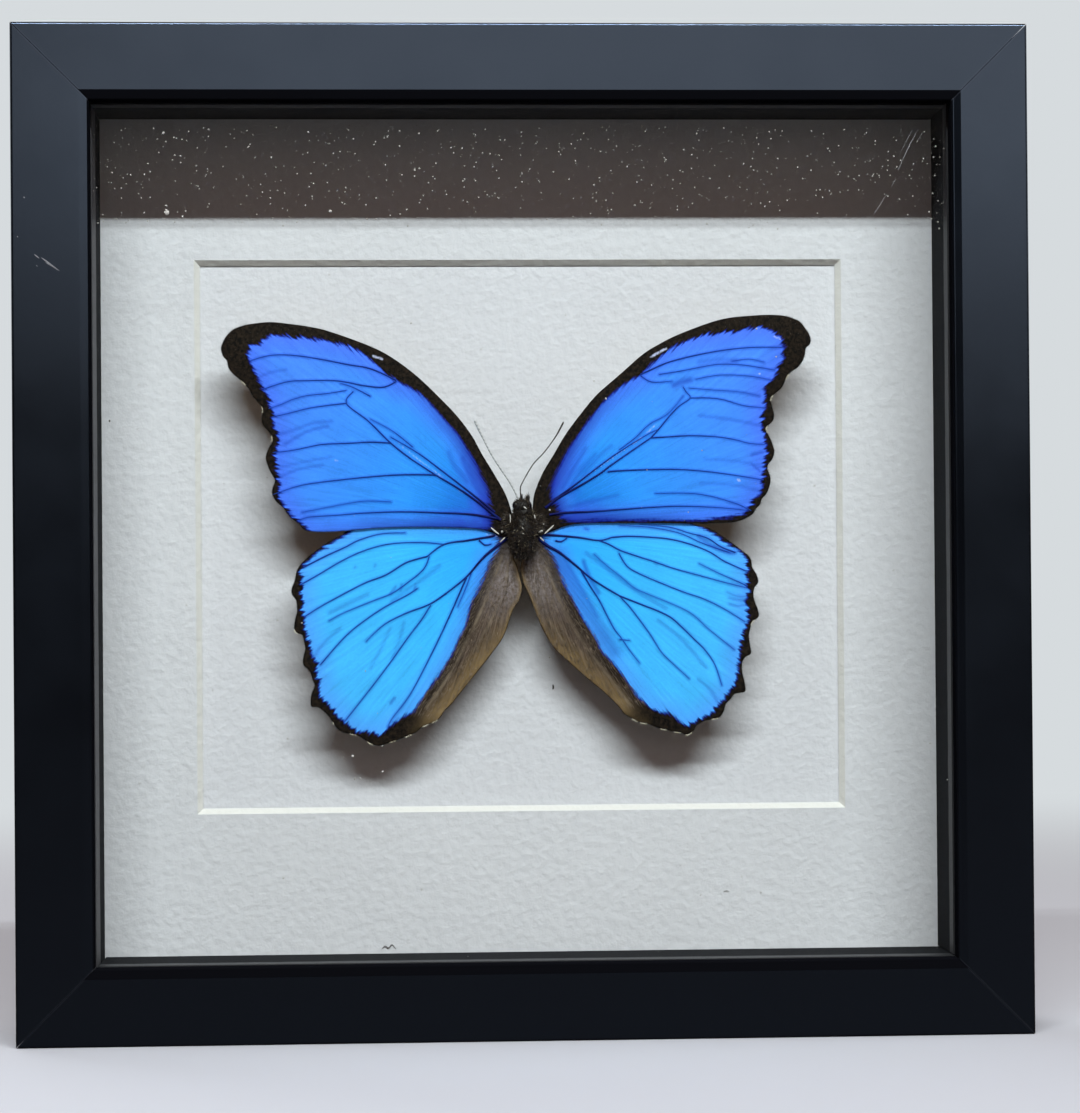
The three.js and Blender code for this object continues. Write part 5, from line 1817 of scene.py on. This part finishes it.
def dust_tree():
    """Crumbs scattered over a face, most of them tiny."""
    tree, given = new_tree("dust", Density=1.0, Size=1.0, Seed=1)
    height = add(tree, "ShaderNodeSeparateXYZ", {"Vector": add(tree, "GeometryNodeInputPosition")})
    thinned = add(tree, "ShaderNodeMapRange", {
        "Value": height.outputs["Z"], "From Min": DUST_LINE[0] * MM, "From Max": DUST_LINE[1] * MM,
        "To Min": DUST_BELOW, "To Max": 1.0,
    })
    density = add(tree, "ShaderNodeMath", {0: thinned, 1: given["Density"]}, operation="MULTIPLY")
    spots = add(tree, "GeometryNodeDistributePointsOnFaces", {
        "Mesh": given["Geometry"], "Density": density, "Seed": given["Seed"],
    })
    crumb = add(tree, "GeometryNodeMeshIcoSphere", {"Radius": 0.5, "Subdivisions": 1})
    drawn = add(tree, "FunctionNodeRandomValue", {2: 0.0, 3: 1.0, "Seed": given["Seed"]})
    rare = add(tree, "ShaderNodeMath", {0: drawn, 1: DUST_RARITY}, operation="POWER")
    grade = add(tree, "ShaderNodeMath", {
        0: rare, 1: DUST_SPREAD, 2: DUST_LEAST,
    }, operation="MULTIPLY_ADD")
    girth = add(tree, "ShaderNodeMath", {0: grade, 1: given["Size"]}, operation="MULTIPLY")
    flat = add(tree, "ShaderNodeCombineXYZ", {0: girth, 1: DUST_THICKNESS * MM, 2: girth})
    placed = add(tree, "GeometryNodeInstanceOnPoints", {
        "Points": spots, "Instance": crumb, "Scale": flat,
    })
    return close_tree(tree, placed, given)


def lint_fibre(name, dark, pale):
    """Matt dust, fibre or scored surface, its tone drifting from place to place."""
    material, tree, shader, place = new_material(name)
    drift = add(tree, "ShaderNodeTexNoise", {
        "Vector": place, "Scale": per_metre(LINT_DRIFT), "Detail": 3.0,
    })
    tone = add(tree, "ShaderNodeMix", {
        "Factor": drift, 6: linear(dark), 7: linear(pale),
    }, data_type="RGBA")
    feed(tree, shader, Base_Color=tone, Roughness=0.9)
    return material


levels = (FRAME_HALF - SIGHT_HALF, *DUST_LINE, DUST_TOP)
pane_face = new_mesh(
    "pane_face", in_frame([(x, DUST_PLANE, z) for z in levels for x in (-SIGHT_HALF, SIGHT_HALF)]),
    faces=[(2 * i, 2 * i + 1, 2 * i + 3, 2 * i + 2) for i in range(len(levels) - 1)],
)
pale_dust = lint_fibre("pale_house_dust", "8F8B86", "E8E6E2")
fine_dust = lint_fibre("fine_house_dust", "85817C", "DAD7D2")
dark_lint = lint_fibre("dark_lint", "1E1A18", "57504A")
scored_glass = lint_fibre("scored_glass", "85888B", "B9BCBF")
scored_lacquer = lint_fibre("scored_lacquer", "5E6166", "A8ABB0")
speck = speck_tree()
keep(grown(
    dust_tree(), pane_face, "pane_dust", fine_dust,
    Density=DUST_DENSITY, Size=DUST_SIZE * MM, Seed=8,
), "mount_paper")
for label, spots, cloth, size, seed, slot in (
    ("pane_flecks", [(g, x, DUST_PLANE, z) for g, x, z in FLECKS], pale_dust, PANE_FLECK_SIZE, 4,
     "mount_paper"),
    ("mat_flecks", MAT_FLECKS, dark_lint, MAT_FLECK_SIZE, 6, "dry_cuticle"),
):
    girth, *place = zip(*spots)
    places = new_mesh(label + "_places", in_frame(np.column_stack(place)), girth=girth)
    keep(grown(speck, places, label, cloth, Size=size * MM, Seed=seed), slot)
for label, courses, cloth, slot in (
    ("mat_lint", LINT, dark_lint, "dry_cuticle"),
    ("pane_scratches", GLASS_SCRATCHES, scored_glass, "clear_glass"),
    ("rail_scratches", RAIL_SCRATCHES, scored_lacquer, "black_moulding"),
):
    keep(grown(strut, polylines(label + "_courses", tapered(courses)), label, cloth, Sides=6), slot)
